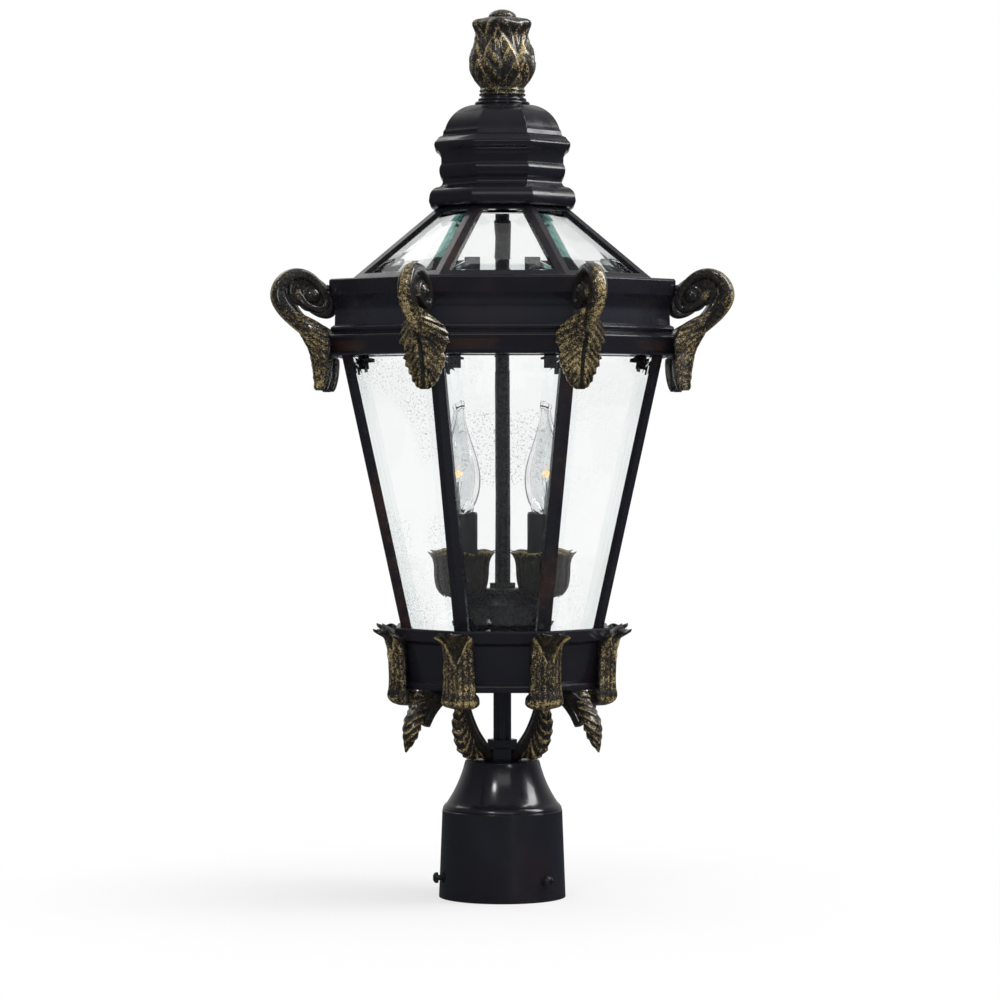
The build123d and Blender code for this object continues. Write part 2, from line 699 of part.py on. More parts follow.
def roof_clips():
    """Two tabs under the foot of one roof pane, standing on the sill."""
    foot, head = roof_pane_line()
    above = Pos(0, 0, CORNICE_TOP + SILL_T + FAR) * Box(4 * FAR, 4 * FAR, 2 * FAR)
    tabs = []
    for y in (-TAB_OFFSET, TAB_OFFSET):
        tab = Pos(y, TAB_LENGTH / 2 - 3, -PANE_T - SEAT_GAP - TAB_T / 2) * Box(TAB_W, TAB_LENGTH + 6, TAB_T)
        tabs.append(side_plane(foot, head) * tab & above)
    return tabs


# ---------------------------------------------------------------- cap, collar and finial
def roof_cap():
    z = CAP_Z
    hole = ROD_R + ROD_ROOF_CLEAR
    inside = CAP_NECK_A - CAP_WALL
    shell = eight_sided(
        outline(
            (inside, z),
            (CAP_BASE_A - 5.6, z),
            ((CAP_BASE_A - 1.4, z + 1.3), (CAP_BASE_A, z + 4.6)),
            (CAP_BASE_A - 0.6, z + 8.6),
            ((CAP_BASE_A - 2.2, z + 11.8), (CAP_NECK_A + 4, z + 14.4)),
            ((CAP_NECK_A + 1.0, z + 15.8), (CAP_NECK_A, z + 18.4)),
            (CAP_NECK_A, z + 20.4),
            ((CAP_TORUS_A, z + 26.2), (CAP_TORUS_A - 1.4, z + 31.4)),
            (CAP_TORUS_A - 1.4, z + 36),
            ((CAP_TORUS_A - 0.6, z + 39), (CAP_CROWN_A - 2.2, z + 42)),
            ((CAP_CROWN_A, z + 45), (CAP_CROWN_A - 1.6, z + 48.4)),
            (CAP_CROWN_A - 3.4, z + 51),
            (CAP_DOME_A + 1.6, z + 52.4),
            (CAP_DOME_A + 1.2, z + 55.4),
            (CAP_DOME_A, z + 57),
            ((CAP_DOME_A - 6.2, z + CAP_H - 7.9), (CAP_EYE_A, z + CAP_H)),
            (hole, z + CAP_H),
            (hole, z + CAP_H - CAP_WALL),
            ((CAP_DOME_A - 9.4, z + CAP_H - 10.7), (inside, z + 54)),
        )
    )
    return pierced(shell, hole + 0.2) + cap_neck()


def cap_neck():
    """Turned top of the cap, on which the finial stands."""
    z = CAP_TOP
    return turned(
        outline(
            (ROD_R + ROD_ROOF_CLEAR, z),
            (NECK_FOOT_R, z),
            ((NECK_FOOT_R + 0.9, z + 1.2), (NECK_FOOT_R, z + 2.4)),
            (NECK_TOP_R + 1.6, z + 2.8),
            ((NECK_TOP_R + 2.3, z + 3.9), (NECK_TOP_R + 1.6, z + 5.0)),
            (NECK_TOP_R, z + 5.4),
            (NECK_TOP_R, z + NECK_H),
            (ROD_R + ROD_ROOF_CLEAR, z + NECK_H),
        )
    )


def finial():
    """Closed tulip of overlapping petals with a rolled lip and a button, screwed on the rod's end."""
    # part of the height, radius, depth of the petals' lobes
    shape = [
        (0.0, FINIAL_FOOT_R, 0.0),
        (0.05, FINIAL_FOOT_R - 0.6, 0.01),
        (0.10, FINIAL_FOOT_R + 1.4, 0.02),
        (0.19, FINIAL_BELLY_R - 1.6, 0.03),
        (0.29, FINIAL_BELLY_R, 0.035),
        (0.40, FINIAL_BELLY_R + 0.3, 0.04),
        (0.48, FINIAL_BELLY_R - 1.6, 0.045),
        (0.57, FINIAL_WAIST_R + 1.4, 0.05),
        (0.66, FINIAL_WAIST_R, 0.06),
        (0.76, FINIAL_WAIST_R + 0.6, 0.09),
        (0.83, FINIAL_LIP_R, 0.12),
        (0.865, FINIAL_LIP_R - 1.0, 0.12),
    ]
    points = 4 * FINIAL_PETALS
    levels = []
    for part, radius, lobe in shape:
        ring = []
        for j in range(points):
            turn = 2 * pi * j / points
            r = radius * (1 + lobe * cos(FINIAL_PETALS * turn))
            ring.append((r * sin(turn), -r * cos(turn)))
        levels.append((FINIAL_Z + part * FINIAL_H, ring))
    button_z = FINIAL_Z + 0.8 * FINIAL_H
    top = FINIAL_Z + FINIAL_H
    button = turned(
        outline(
            (0, button_z),
            (FINIAL_BUTTON_R, button_z),
            (FINIAL_BUTTON_R, top - 4.6),
            ((0.52 * FINIAL_BUTTON_R, top - 1.06), (0.1 * FINIAL_BUTTON_R, top)),
            (0, top),
        )
    )
    socket_h = ROD_IN_FINIAL + 2
    socket = Pos(0, 0, FINIAL_Z + socket_h / 2) * Cylinder(ROD_R + TURN_FIT, socket_h)
    return slices(levels) + button - socket


# ---------------------------------------------------------------- lights
def cluster_can():
    top = DECK_Z + CAN_H
    shoulder = top - CAN_SHOULDER_H
    hole = ROD_R + ROD_CLEAR
    middle = (CAN_R + CAN_TOP_R) / 2
    return turned(
        outline(
            (CAN_R - CAN_WALL, DECK_Z),
            (CAN_FOOT_R, DECK_Z),
            (CAN_FOOT_R, DECK_Z + CAN_FOOT_H - 0.6),
            (CAN_R, DECK_Z + CAN_FOOT_H),
            (CAN_R, shoulder - 0.8),
            (CAN_R - 0.6, shoulder - 0.4),
            (CAN_R, shoulder),
            ((middle + 1.4, shoulder + 0.62 * CAN_SHOULDER_H), (CAN_TOP_R, top)),
            (hole, top),
            (hole, top - CAN_WALL),
            (CAN_TOP_R - 0.5, top - CAN_WALL),
            ((middle + 0.2, shoulder + 0.54 * CAN_SHOULDER_H), (CAN_R - CAN_WALL, shoulder - 0.5)),
        )
    )


def at_light(shape):
    """Copies of a piece, modelled on the Z axis with its foot at the deck, at each light."""
    return around(Pos(LIGHT_R, 0, DECK_Z) * shape, LIGHTS, LIGHT_FIRST_AZ)


def light_branch():
    """Bent tube from the can's side up to a cup, on the light's own axis."""
    path = FilletPolyline(
        (CAN_R - LIGHT_R, 0, BRANCH_Z), (0, 0, BRANCH_Z), (0, 0, CUP_Z), radius=BRANCH_BEND_R
    )
    start = Plane(origin=path @ 0, z_dir=path % 0)
    return sweep(start * Circle(BRANCH_R), path)


def light_cup():
    top = CUP_Z + CUP_H
    floor = CUP_Z + CUP_FLOOR
    inner = CUP_R - CUP_WALL
    return turned(
        outline(
            (0, CUP_Z),
            (4.6, CUP_Z),
            ((9.6, CUP_Z + 2.4), (13.0, CUP_Z + 6.2)),
            ((17.6, CUP_Z + 10.6), (CUP_R, CUP_Z + 19)),
            (CUP_R, top - 9),
            ((CUP_R + 1.4, top - 3.6), (CUP_LIP_R, top - 0.4)),
            (CUP_LIP_R - 0.5, top),
            ((inner + 1.2, top - 3.2), (inner, top - 9)),
            (inner, CUP_Z + 19),
            ((16.2, CUP_Z + 12.2), (12.6, floor)),
            (0, floor),
        )
    )


def candle_sleeve():
    floor = CUP_Z + CUP_FLOOR
    tube = Cylinder(CANDLE_R, CANDLE_H) - Cylinder(CANDLE_R - CANDLE_WALL, CANDLE_H)
    return Pos(0, 0, floor + CANDLE_H / 2) * tube


def lamp_socket():
    floor = CUP_Z + CUP_FLOOR
    top = floor + SOCKET_H
    bore = BULB_CAP_R + LAMP_CLEAR
    return turned(
        outline(
            (0, floor),
            (SOCKET_R, floor),
            (SOCKET_R, top),
            (bore, top),
            (bore, top - SOCKET_DEPTH),
            (0, top - SOCKET_DEPTH),
        )
    )


def bulb_foot():
    return CUP_Z + CUP_FLOOR + SOCKET_H - SOCKET_DEPTH


def bulb_cap():
    """Screw cap, its centre contact resting on the socket's floor."""
    foot = bulb_foot()
    top = foot + BULB_CAP_H
    return turned(
        outline(
            (0, foot),
            (0.45 * BULB_CAP_R, foot),
            (0.55 * BULB_CAP_R, foot + 2),
            (BULB_CAP_R, foot + 3.4),
            (BULB_CAP_R, top),
            (0, top),
        )
    )


def flame(foot_r, belly_r, z, height):
    """Solid flame shape with a drawn-out tip."""
    top = z + height
    return turned(
        outline(
            (0, z),
            (foot_r, z),
            ((0.92 * belly_r, z + 0.176 * height), (belly_r, z + 0.32 * height)),
            ((0.86 * belly_r, z + 0.52 * height), (0.46 * belly_r, z + 0.76 * height)),
            ((0.24 * belly_r, z + 0.87 * height), (0.15 * belly_r, top - 0.04 * height)),
            (0, top),
        )
    )


def bulb_glass():
    """Hollow flame-shaped envelope."""
    z = bulb_foot() + BULB_CAP_H
    inside = flame(BULB_CAP_R - BULB_WALL, BULB_R - BULB_WALL, z + BULB_WALL, 0.88 * BULB_H)
    return flame(BULB_CAP_R, BULB_R, z, BULB_H) - inside


# ---------------------------------------------------------------- all pieces
def numbered(name, shapes):
    for k, shape in enumerate(shapes, 1):
        save(f"{name}_{k}", shape)


def main():
    save("post_fitter", post_fitter())
    numbered("set_screw", around(set_screw(), SCREW_COUNT, SCREW_FIRST_AZ))
    save("arm_hub", arm_hub())
    save("hub_collar", hub_collar())
    save("lower_stem", lower_stem())
    save("center_rod", center_rod())
    save("rod_nuts", nut(FITTER_TOP - BELL_ROOF - NUT_H), nut(DECK_Z + CAN_H))
    numbered("scroll_arm", around(scroll_arm(), ARM_COUNT, LIGHT_FIRST_AZ))

    save("gallery_pan", gallery_pan())
    save("gallery_deck", gallery_deck())
    numbered("gallery_leaf", around(gallery_leaf(), SIDES, SIDE_TURN / 2))

    save("corner_rails", *around(corner_rail(), SIDES, SIDE_TURN / 2))
    numbered("glass_pane", around(glass_pane(), SIDES))
    save("glass_clips", *[copy for tab in glass_clips() for copy in around(tab, SIDES)])
    save("cornice_ring", cornice_ring())
    numbered("corner_scroll", around(corner_scroll(), SIDES, SIDE_TURN / 2))

    save("roof_frame", roof_frame())
    save("roof_panes", *around(roof_pane(), SIDES))
    save("roof_clips", *[copy for tab in roof_clips() for copy in around(tab, SIDES)])
    save("roof_cap", roof_cap())
    save("finial", finial())

    save("cluster_can", cluster_can())
    save("light_branches", *at_light(light_branch()))
    save("light_cups", *at_light(light_cup()))
    save("candle_sleeves", *at_light(candle_sleeve()))
    save("lamp_sockets", *at_light(lamp_socket()))
    numbered("bulb_cap", at_light(bulb_cap()))
    numbered("bulb_glass", at_light(bulb_glass()))


main()
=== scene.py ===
import json
from math import cos, pi, radians, sin, sqrt, tan

import bpy
import numpy as np
from mathutils import Matrix, Vector


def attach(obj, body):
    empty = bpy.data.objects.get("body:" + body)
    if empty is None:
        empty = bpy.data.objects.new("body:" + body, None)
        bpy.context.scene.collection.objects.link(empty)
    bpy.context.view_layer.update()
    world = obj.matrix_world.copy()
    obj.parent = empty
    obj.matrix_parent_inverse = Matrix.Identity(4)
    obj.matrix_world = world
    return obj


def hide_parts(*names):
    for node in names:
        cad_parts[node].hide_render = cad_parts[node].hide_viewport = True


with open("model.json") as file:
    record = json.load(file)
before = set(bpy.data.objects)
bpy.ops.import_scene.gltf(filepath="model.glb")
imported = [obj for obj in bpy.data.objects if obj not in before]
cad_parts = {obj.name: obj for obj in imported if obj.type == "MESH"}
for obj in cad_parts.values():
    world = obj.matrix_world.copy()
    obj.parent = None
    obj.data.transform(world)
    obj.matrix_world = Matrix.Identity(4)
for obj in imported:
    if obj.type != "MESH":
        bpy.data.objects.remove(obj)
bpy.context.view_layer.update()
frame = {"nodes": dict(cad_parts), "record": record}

# Sizes are in millimetres until a mesh is made. Flat sides face 0, 45, 90 ... degrees about Z.
MM = 0.001
HALF_TURN = radians(22.5)
CORNERS = [22.5 + 45 * k for k in range(8)]
QUARTERS = [45 + 90 * k for k in range(4)]
FITTER_TOP = 101.2
HUB_HALF = 12.5  # half the side of the square hub
GALLERY_Z = 155.8  # underside of the gallery
GALLERY_TOP = 200.6
GALLERY_HALF = 78.5  # half the gallery's width over its flat sides, where the leaves sit
DECK_Z = 197.0  # top of the deck that the lights stand on
FINIAL_Z = 591.5  # foot of the finial
FINIAL_HEIGHT = 63.7
LIGHT_R = 41.5  # from the axis to each light
LIGHT_AT = (LIGHT_R, 0, DECK_Z)
BULB_FOOT = 84.0  # above the deck
BULB_HEIGHT = 84.6


# ---------------------------------------------------------------- meshes from grids of points
def smooth(table, t):
    """Columns of a table at t, its first column, on a smooth line."""
    table = np.array(table, float)
    x, y = table[:, 0], table[:, 1:]
    slope = np.gradient(y, x, axis=0)
    t = np.clip(np.atleast_1d(t), x[0], x[-1])
    i = np.clip(np.searchsorted(x, t) - 1, 0, len(x) - 2)
    h = (x[i + 1] - x[i])[:, None]
    s = (t - x[i])[:, None] / h
    made = (2 * s**3 - 3 * s**2 + 1) * y[i] + (s**3 - 2 * s**2 + s) * h * slope[i]
    return (made + (3 * s**2 - 2 * s**3) * y[i + 1] + (s**3 - s**2) * h * slope[i + 1]).T


def line_through(points, count):
    """Evenly spaced points on a smooth line through the given ones."""
    p = np.array(points, float)
    p = np.vstack([2 * p[0] - p[1], p, 2 * p[-1] - p[-2]])
    t = np.linspace(0, 1, 24, endpoint=False)[:, None]
    parts = []
    for a, b, c, d in zip(p, p[1:], p[2:], p[3:]):
        parts.append(0.5 * (2 * b + (c - a) * t + (2 * a - 5 * b + 4 * c - d) * t**2 + (3 * b - a - 3 * c + d) * t**3))
    line = np.vstack([*parts, p[-2:-1]])
    run = np.r_[0, np.cumsum(np.linalg.norm(np.diff(line, axis=0), axis=1))]
    even = np.linspace(0, run[-1], count)
    return np.stack([np.interp(even, run, line[:, k]) for k in range(line.shape[1])], 1)


def step(low, high, x):
    """0 below low, 1 above high, smooth between."""
    t = np.clip((x - low) / (high - low), 0, 1)
    return t * t * (3 - 2 * t)


def ridge(phase):
    """Overlapping lobes: a slow rise and a quick fall, once for each whole number."""
    s = phase % 1
    return np.where(s < 0.78, s / 0.78, (1 - s) / 0.22)


class Shape:
    """Points, faces and gilding of one mesh, put together from grids."""

    def __init__(self):
        self.points, self.faces, self.gilt, self.total = [], [], [], 0

    def grid(self, rows, gilt=1.0, ends=(True, True)):
        """Adds rows of points, each closed on itself; ends says which end rows are filled."""
        rows = np.asarray(rows, float)
        n, m = rows.shape[:2]
        at = self.total
        self.points.append(rows.reshape(-1, 3))
        self.gilt.append((np.zeros((n, m)) + gilt).ravel())
        self.total += n * m
        for i in range(n - 1):
            for j in range(m):
                k = (j + 1) % m
                a, b = at + i * m, at + (i + 1) * m
                self.faces.append((a + j, a + k, b + k, b + j))
        for filled, row in zip(ends, (0, n - 1)):
            if filled:
                self.points.append(rows[row].mean(0)[None])
                self.gilt.append(np.array([0.5]))
                middle = self.total
                self.total += 1
                for j in range(m):
                    a, b = at + row * m + j, at + row * m + (j + 1) % m
                    self.faces.append((b, a, middle) if row == 0 else (a, b, middle))

    def mesh(self, name):
        """The mesh in metres, smooth, with the gilding as a value at each point."""
        mesh = bpy.data.meshes.new(name)
        points = np.vstack(self.points) * MM
        mesh.from_pydata(points.tolist(), [], self.faces)
        mesh.polygons.foreach_set("use_smooth", [True] * len(mesh.polygons))
        layer = mesh.attributes.new("gilt", "FLOAT", "POINT")
        layer.data.foreach_set("value", np.concatenate(self.gilt).astype(np.float32))
        mesh.update()
        return mesh


def place(mesh, name, body, finish, turn=0.0, at=(0, 0, 0), nodes=()):
    """Puts a copy of a mesh on a body, moved and then turned about the lantern's axis, standing for CAD nodes."""
    mesh = mesh.copy()
    mesh.transform(Matrix.Rotation(radians(turn), 4, "Z") @ Matrix.Translation(Vector(at) * MM))
    piece = bpy.data.objects.new(name, mesh)
    bpy.context.scene.collection.objects.link(piece)
    mesh.materials.append(finish)
    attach(piece, body)
    if nodes:
        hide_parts(*nodes)


def section(count, power, groove=0.0):
    """Rounded oblong section as (across, out) pairs in -1..1, with grooved sides if asked."""
    t = np.linspace(0, 2 * pi, count, endpoint=False)
    a = np.sign(np.cos(t)) * np.abs(np.cos(t)) ** (2 / power)
    b = np.sign(np.sin(t)) * np.abs(np.sin(t)) ** (2 / power)
    a = a * (1 - groove * np.clip(1 - (b / 0.62) ** 2, 0, 1) ** 0.5)
    return a, b


def bar(line, half_widths, half_depths, a, b, lift=1.0):
    """Rows of points of a bar along a line (x, z) of the upright plane, its section (a, b) grown by lift."""
    way = np.gradient(line, axis=0)
    way /= np.linalg.norm(way, axis=1)[:, None]
    out = np.stack([way[:, 1], -way[:, 0]], 1)
    across = half_widths[:, None] * a[None] * lift
    depth = half_depths[:, None] * b[None] * lift
    x = line[:, :1] + out[:, :1] * depth
    z = line[:, 1:] + out[:, 1:] * depth
    return np.stack([x, across, z], 2)


# ---------------------------------------------------------------- materials
def add(tree, kind, inputs=None, **settings):
    """New shader node; an input is a value or another node's output."""
    node = tree.nodes.new("ShaderNode" + kind)
    for key, value in settings.items():
        setattr(node, key, value)
    for key, value in (inputs or {}).items():
        if isinstance(value, bpy.types.NodeSocket):
            tree.links.new(value, node.inputs[key])
        else:
            node.inputs[key].default_value = value
    return node


def calc(tree, operation, *values):
    """Result of a mathematical operation on values or outputs."""
    node = tree.nodes.new("ShaderNodeMath")
    node.operation = operation
    for k, value in enumerate(values):
        if isinstance(value, bpy.types.NodeSocket):
            tree.links.new(value, node.inputs[k])
        else:
            node.inputs[k].default_value = value
    return node.outputs[0]


def between(tree, value, low, high, to_low=0.0, to_high=1.0):
    """Smooth step of a value."""
    inputs = {"Value": value, "From Min": low, "From Max": high, "To Min": to_low, "To Max": to_high}
    return add(tree, "MapRange", inputs, interpolation_type="SMOOTHSTEP").outputs["Result"]


def blend(tree, factor, first, second):
    """Colour between two colours."""
    node = add(tree, "Mix", data_type="RGBA")
    for k, value in ((0, factor), (6, first), (7, second)):
        if isinstance(value, bpy.types.NodeSocket):
            tree.links.new(value, node.inputs[k])
        else:
            node.inputs[k].default_value = value if k == 0 else (*value, 1)
    return node.outputs[2]


def band(tree, value, low, high, soft=0.001):
    """1 where a value lies between two limits."""
    rising = between(tree, value, low - soft, low + soft)
    return calc(tree, "MULTIPLY", rising, between(tree, value, high - soft, high + soft, 1.0, 0.0))


def noise(tree, spot, scale, detail=2.0, rough=0.5):
    """Cloudy value between 0 and 1 at each spot."""
    inputs = {"Vector": spot, "Scale": scale, "Detail": detail, "Roughness": rough}
    return add(tree, "TexNoise", inputs).outputs["Fac"]


def from_axis(tree, x, y):
    """Distance from the lantern's axis."""
    return calc(tree, "SQRT", calc(tree, "ADD", calc(tree, "MULTIPLY", x, x), calc(tree, "MULTIPLY", y, y)))


def new_finish(name):
    """Empty material, its node tree and the object's own coordinates."""
    finish = bpy.data.materials.new(name)
    finish.use_nodes = True
    tree = finish.node_tree
    tree.nodes.clear()
    spot = add(tree, "TexCoord").outputs["Object"]
    return finish, tree, spot


def close(tree, shader):
    """Ends a material with its shader."""
    add(tree, "OutputMaterial", {"Surface": shader})


# heights in metres of the cornice's middle moulding, where a lighter bluish band is painted as a reflection of the
# light, and of its rubbed lower moulding
PAINTED_SHEEN_BAND = (0.4195, 0.4325)
RUBBED_EDGE = (0.4025, 0.4095)


def bronze(name, brown=0.15, rough=0.17, bands=False):
    """Oil-rubbed black enamel over bronze, which shows brown where it is rubbed.

    bands adds a painted reflection, a lighter bluish band, on the cornice's middle moulding, and brown rubbed wear on
    its lower moulding.
    """
    finish, tree, spot = new_finish(name)
    broad = noise(tree, spot, 14, 3)
    fine = noise(tree, spot, 150, 4, 0.6)
    both = calc(tree, "ADD", calc(tree, "MULTIPLY", broad, 0.72), calc(tree, "MULTIPLY", fine, 0.28))
    worn = calc(tree, "MULTIPLY", between(tree, both, 0.51, 0.67), brown)
    base = (0.0105, 0.0105, 0.0155)
    if bands:
        level = add(tree, "SeparateXYZ", {"Vector": spot}).outputs["Z"]
        # painted reflection: the middle moulding is made lighter and bluish, as if it caught the studio light
        base = blend(tree, band(tree, level, *PAINTED_SHEEN_BAND, 0.002), base, (0.021, 0.022, 0.031))
        patchy = between(tree, broad, 0.50, 0.60, 0.0, 0.45)
        worn = calc(tree, "MAXIMUM", worn, calc(tree, "MULTIPLY", band(tree, level, *RUBBED_EDGE), patchy))
    tint = blend(tree, worn, base, (0.055, 0.026, 0.015))
    dull = between(tree, noise(tree, spot, 60, 3), 0.3, 0.75, rough * 0.75, rough * 1.5)
    ripple = noise(tree, spot, 55, 2)
    grain = noise(tree, spot, 620, 2)
    height = calc(tree, "ADD", calc(tree, "MULTIPLY", ripple, 0.3), calc(tree, "MULTIPLY", grain, 0.04))
    soft = add(tree, "Bevel", {"Radius": 0.0008}, samples=4)
    bump = add(tree, "Bump", {"Height": height, "Distance": 0.0009, "Strength": 0.5, "Normal": soft.outputs[0]})
    shader = add(tree, "BsdfPrincipled", {"Base Color": tint, "Roughness": dull, "Normal": bump.outputs[0]})
    shader.inputs["Specular IOR Level"].default_value = 0.5
    shader.inputs["Coat Weight"].default_value = 0.3
    shader.inputs["Coat Roughness"].default_value = 0.06
    close(tree, shader.outputs[0])
    return finish


def gilding(name, specular=0.5, coat=1.0):
    """Antique gold rubbed over dark bronze: dense on raised veins, speckled elsewhere, gone in the hollows."""
    finish, tree, spot = new_finish(name)
    raised = add(tree, "Attribute", attribute_name="gilt").outputs["Fac"]
    speck = noise(tree, spot, 1500, 1, 0.5)
    patch = noise(tree, spot, 340, 3, 0.65)
    broad = noise(tree, spot, 60, 2)
    mark = calc(tree, "ADD", calc(tree, "MULTIPLY", speck, 0.62), calc(tree, "MULTIPLY", patch, 0.38))
    mark = calc(tree, "ADD", mark, calc(tree, "MULTIPLY", calc(tree, "SUBTRACT", broad, 0.5), 0.22))
    mark = calc(tree, "ADD", mark, calc(tree, "MULTIPLY", calc(tree, "SUBTRACT", raised, 0.5), 0.30))
    gold = between(tree, mark, 0.515, 0.59)
    warm = blend(tree, between(tree, mark, 0.54, 0.68), (0.12, 0.080, 0.027), (0.68, 0.53, 0.25))
    under = blend(tree, between(tree, patch, 0.4, 0.7), (0.006, 0.0055, 0.006), (0.022, 0.015, 0.009))
    tint = blend(tree, gold, under, warm)
    height = calc(tree, "ADD", calc(tree, "MULTIPLY", speck, 0.4), calc(tree, "MULTIPLY", patch, 0.8))
    bump = add(tree, "Bump", {"Height": height, "Distance": 0.001, "Strength": 0.8})
    shader = add(tree, "BsdfPrincipled", {"Base Color": tint, "Normal": bump.outputs[0]})
    tree.links.new(calc(tree, "MULTIPLY", gold, 0.3), shader.inputs["Metallic"])
    tree.links.new(between(tree, speck, 0.3, 0.7, 0.22, 0.40), shader.inputs["Roughness"])
    shader.inputs["Specular IOR Level"].default_value = specular
    shader.inputs["Coat Weight"].default_value = coat
    shader.inputs["Coat Roughness"].default_value = 0.08
    close(tree, shader.outputs[0])
    return finish


def side_edge(tree, spot):
    """Distance of a point from the nearest corner line of the eight-sided body, with its x, y and z."""
    parts = add(tree, "SeparateXYZ", {"Vector": spot})
    x, y = parts.outputs["X"], parts.outputs["Y"]
    turn = calc(tree, "ARCTAN2", y, x)
    folded = calc(tree, "FLOORED_MODULO", calc(tree, "ADD", turn, HALF_TURN), pi / 4)
    folded = calc(tree, "SUBTRACT", folded, HALF_TURN)
    reach = from_axis(tree, x, y)
    across = calc(tree, "ABSOLUTE", calc(tree, "MULTIPLY", reach, calc(tree, "SINE", folded)))
    flat = calc(tree, "MULTIPLY", reach, calc(tree, "COSINE", folded))
    return calc(tree, "SUBTRACT", calc(tree, "MULTIPLY", flat, tan(HALF_TURN)), across), x, y, parts.outputs["Z"]


def clear(tree, tint, bump=None, ior=1.45):
    """Clear glass that lets lamp light through to what is behind it."""
    glass = add(tree, "BsdfPrincipled", {"Base Color": tint, "Roughness": 0.0, "IOR": ior})
    glass.inputs["Transmission Weight"].default_value = 1.0
    if bump is not None:
        tree.links.new(bump, glass.inputs["Normal"])
    lamp = add(tree, "LightPath").outputs["Is Shadow Ray"]
    bare = add(tree, "BsdfTransparent", {"Color": (0.96, 0.97, 0.97, 1)})
    mixed = add(tree, "MixShader", {0: lamp, 1: glass.outputs[0], 2: bare.outputs[0]})
    close(tree, mixed.outputs[0])


def seeded_glass():
    """Body panes: bevelled plates with patches of small dark seeds."""
    finish, tree, spot = new_finish("seeded_glass")
    edge, x, y, z = side_edge(tree, spot)
    slope = between(tree, edge, 0.0035, 0.0150)
    slope.node.interpolation_type = "LINEAR"
    rim = between(tree, edge, 0.0138, 0.0150, 1.0, 0.0)
    seed = between(tree, noise(tree, spot, 760, 1, 0.6), 0.60, 0.665)
    back = calc(tree, "MULTIPLY", band(tree, z, 0.303, 0.358, 0.004), band(tree, x, -0.030, 0.031, 0.003))
    back = calc(tree, "MULTIPLY", back, between(tree, y, 0.02, 0.03))
    patch = between(tree, noise(tree, spot, 15, 1), 0.50, 0.66)
    left = calc(tree, "MULTIPLY", patch, between(tree, x, -0.035, -0.055, 0.25, 0.9))
    fleck = calc(tree, "MULTIPLY", seed, calc(tree, "MAXIMUM", back, left))
    tint = blend(tree, calc(tree, "MULTIPLY", rim, 0.35), (0.992, 0.996, 0.996), (0.84, 0.91, 0.90))
    tint = blend(tree, calc(tree, "MULTIPLY", fleck, 0.8), tint, (0.30, 0.34, 0.35))
    bump = add(tree, "Bump", {"Height": slope, "Distance": 0.0006, "Strength": 1.0})
    wavy = {"Height": noise(tree, spot, 24, 2), "Distance": 0.0006, "Strength": 0.3, "Normal": bump.outputs[0]}
    clear(tree, tint, add(tree, "Bump", wavy).outputs[0], ior=1.38)
    return finish


def roof_glass():
    """Roof panes: clear plates; four of them have teal bevels with fine slanting chips beside the ribs."""
    finish, tree, spot = new_finish("roof_glass")
    edge, x, y, z = side_edge(tree, spot)
    across, along = calc(tree, "ABSOLUTE", x), calc(tree, "ABSOLUTE", y)
    beside = calc(tree, "SUBTRACT", across, calc(tree, "MULTIPLY", along, tan(HALF_TURN)))
    near = between(tree, calc(tree, "SUBTRACT", calc(tree, "MULTIPLY", along, 0.85), across), 0.0, 0.002)
    side = calc(tree, "MULTIPLY", between(tree, edge, 0.0176, 0.0184, 1.0, 0.0), between(tree, beside, 0.0, 0.0004))
    side = calc(tree, "MULTIPLY", side, near)
    foot = between(tree, z, 0.4622, 0.4630, 1.0, 0.0)
    ramp = calc(tree, "ADD", calc(tree, "MULTIPLY", z, 900.0), calc(tree, "MULTIPLY", edge, 620.0))
    ramp = calc(tree, "ADD", ramp, calc(tree, "MULTIPLY", noise(tree, spot, 90, 2), 3.0))
    chip = between(tree, calc(tree, "SINE", ramp), 0.86, 0.97)
    teal = blend(tree, calc(tree, "MULTIPLY", chip, 0.85), (0.10, 0.29, 0.25), (0.02, 0.06, 0.06))
    tint = blend(tree, calc(tree, "MULTIPLY", foot, 0.4), (0.985, 0.995, 0.99), (0.40, 0.58, 0.55))
    tint = blend(tree, calc(tree, "MULTIPLY", side, 0.9), tint, teal)
    bump = add(tree, "Bump", {"Height": noise(tree, spot, 22, 2), "Distance": 0.0006, "Strength": 0.3})
    clear(tree, tint, bump.outputs[0])
    return finish


def bulb_glass():
    """Thin clear glass with a faint haze."""
    finish, tree, spot = new_finish("bulb_glass")
    haze = between(tree, noise(tree, spot, 90, 2), 0.45, 0.75)
    tint = blend(tree, calc(tree, "MULTIPLY", haze, 0.3), (0.985, 0.985, 0.985), (0.70, 0.75, 0.76))
    clear(tree, tint, ior=1.40)
    return finish


def glow(name, color, strength):
    """Glowing wire, a little uneven."""
    finish, tree, spot = new_finish(name)
    lively = between(tree, noise(tree, spot, 900, 1), 0.3, 0.7, 0.7, 1.3)
    power = calc(tree, "MULTIPLY", lively, strength)
    shader = add(tree, "Emission", {"Color": (*color, 1), "Strength": power})
    close(tree, shader.outputs[0])
    return finish


def plain_metal(name, color, metal, rough, specular=0.5):
    """Metal or plastic with fine colour and gloss variation."""
    finish, tree, spot = new_finish(name)
    fine = noise(tree, spot, 400, 3, 0.6)
    darker = tuple(0.6 * c for c in color)
    tint = blend(tree, between(tree, fine, 0.3, 0.7), darker, color)
    bump = add(tree, "Bump", {"Height": fine, "Distance": 0.0003, "Strength": 0.4})
    shader = add(tree, "BsdfPrincipled", {"Base Color": tint, "Normal": bump.outputs[0], "Metallic": metal})
    tree.links.new(between(tree, fine, 0.2, 0.8, rough * 0.8, rough * 1.3), shader.inputs["Roughness"])
    shader.inputs["Specular IOR Level"].default_value = specular
    close(tree, shader.outputs[0])
    return finish


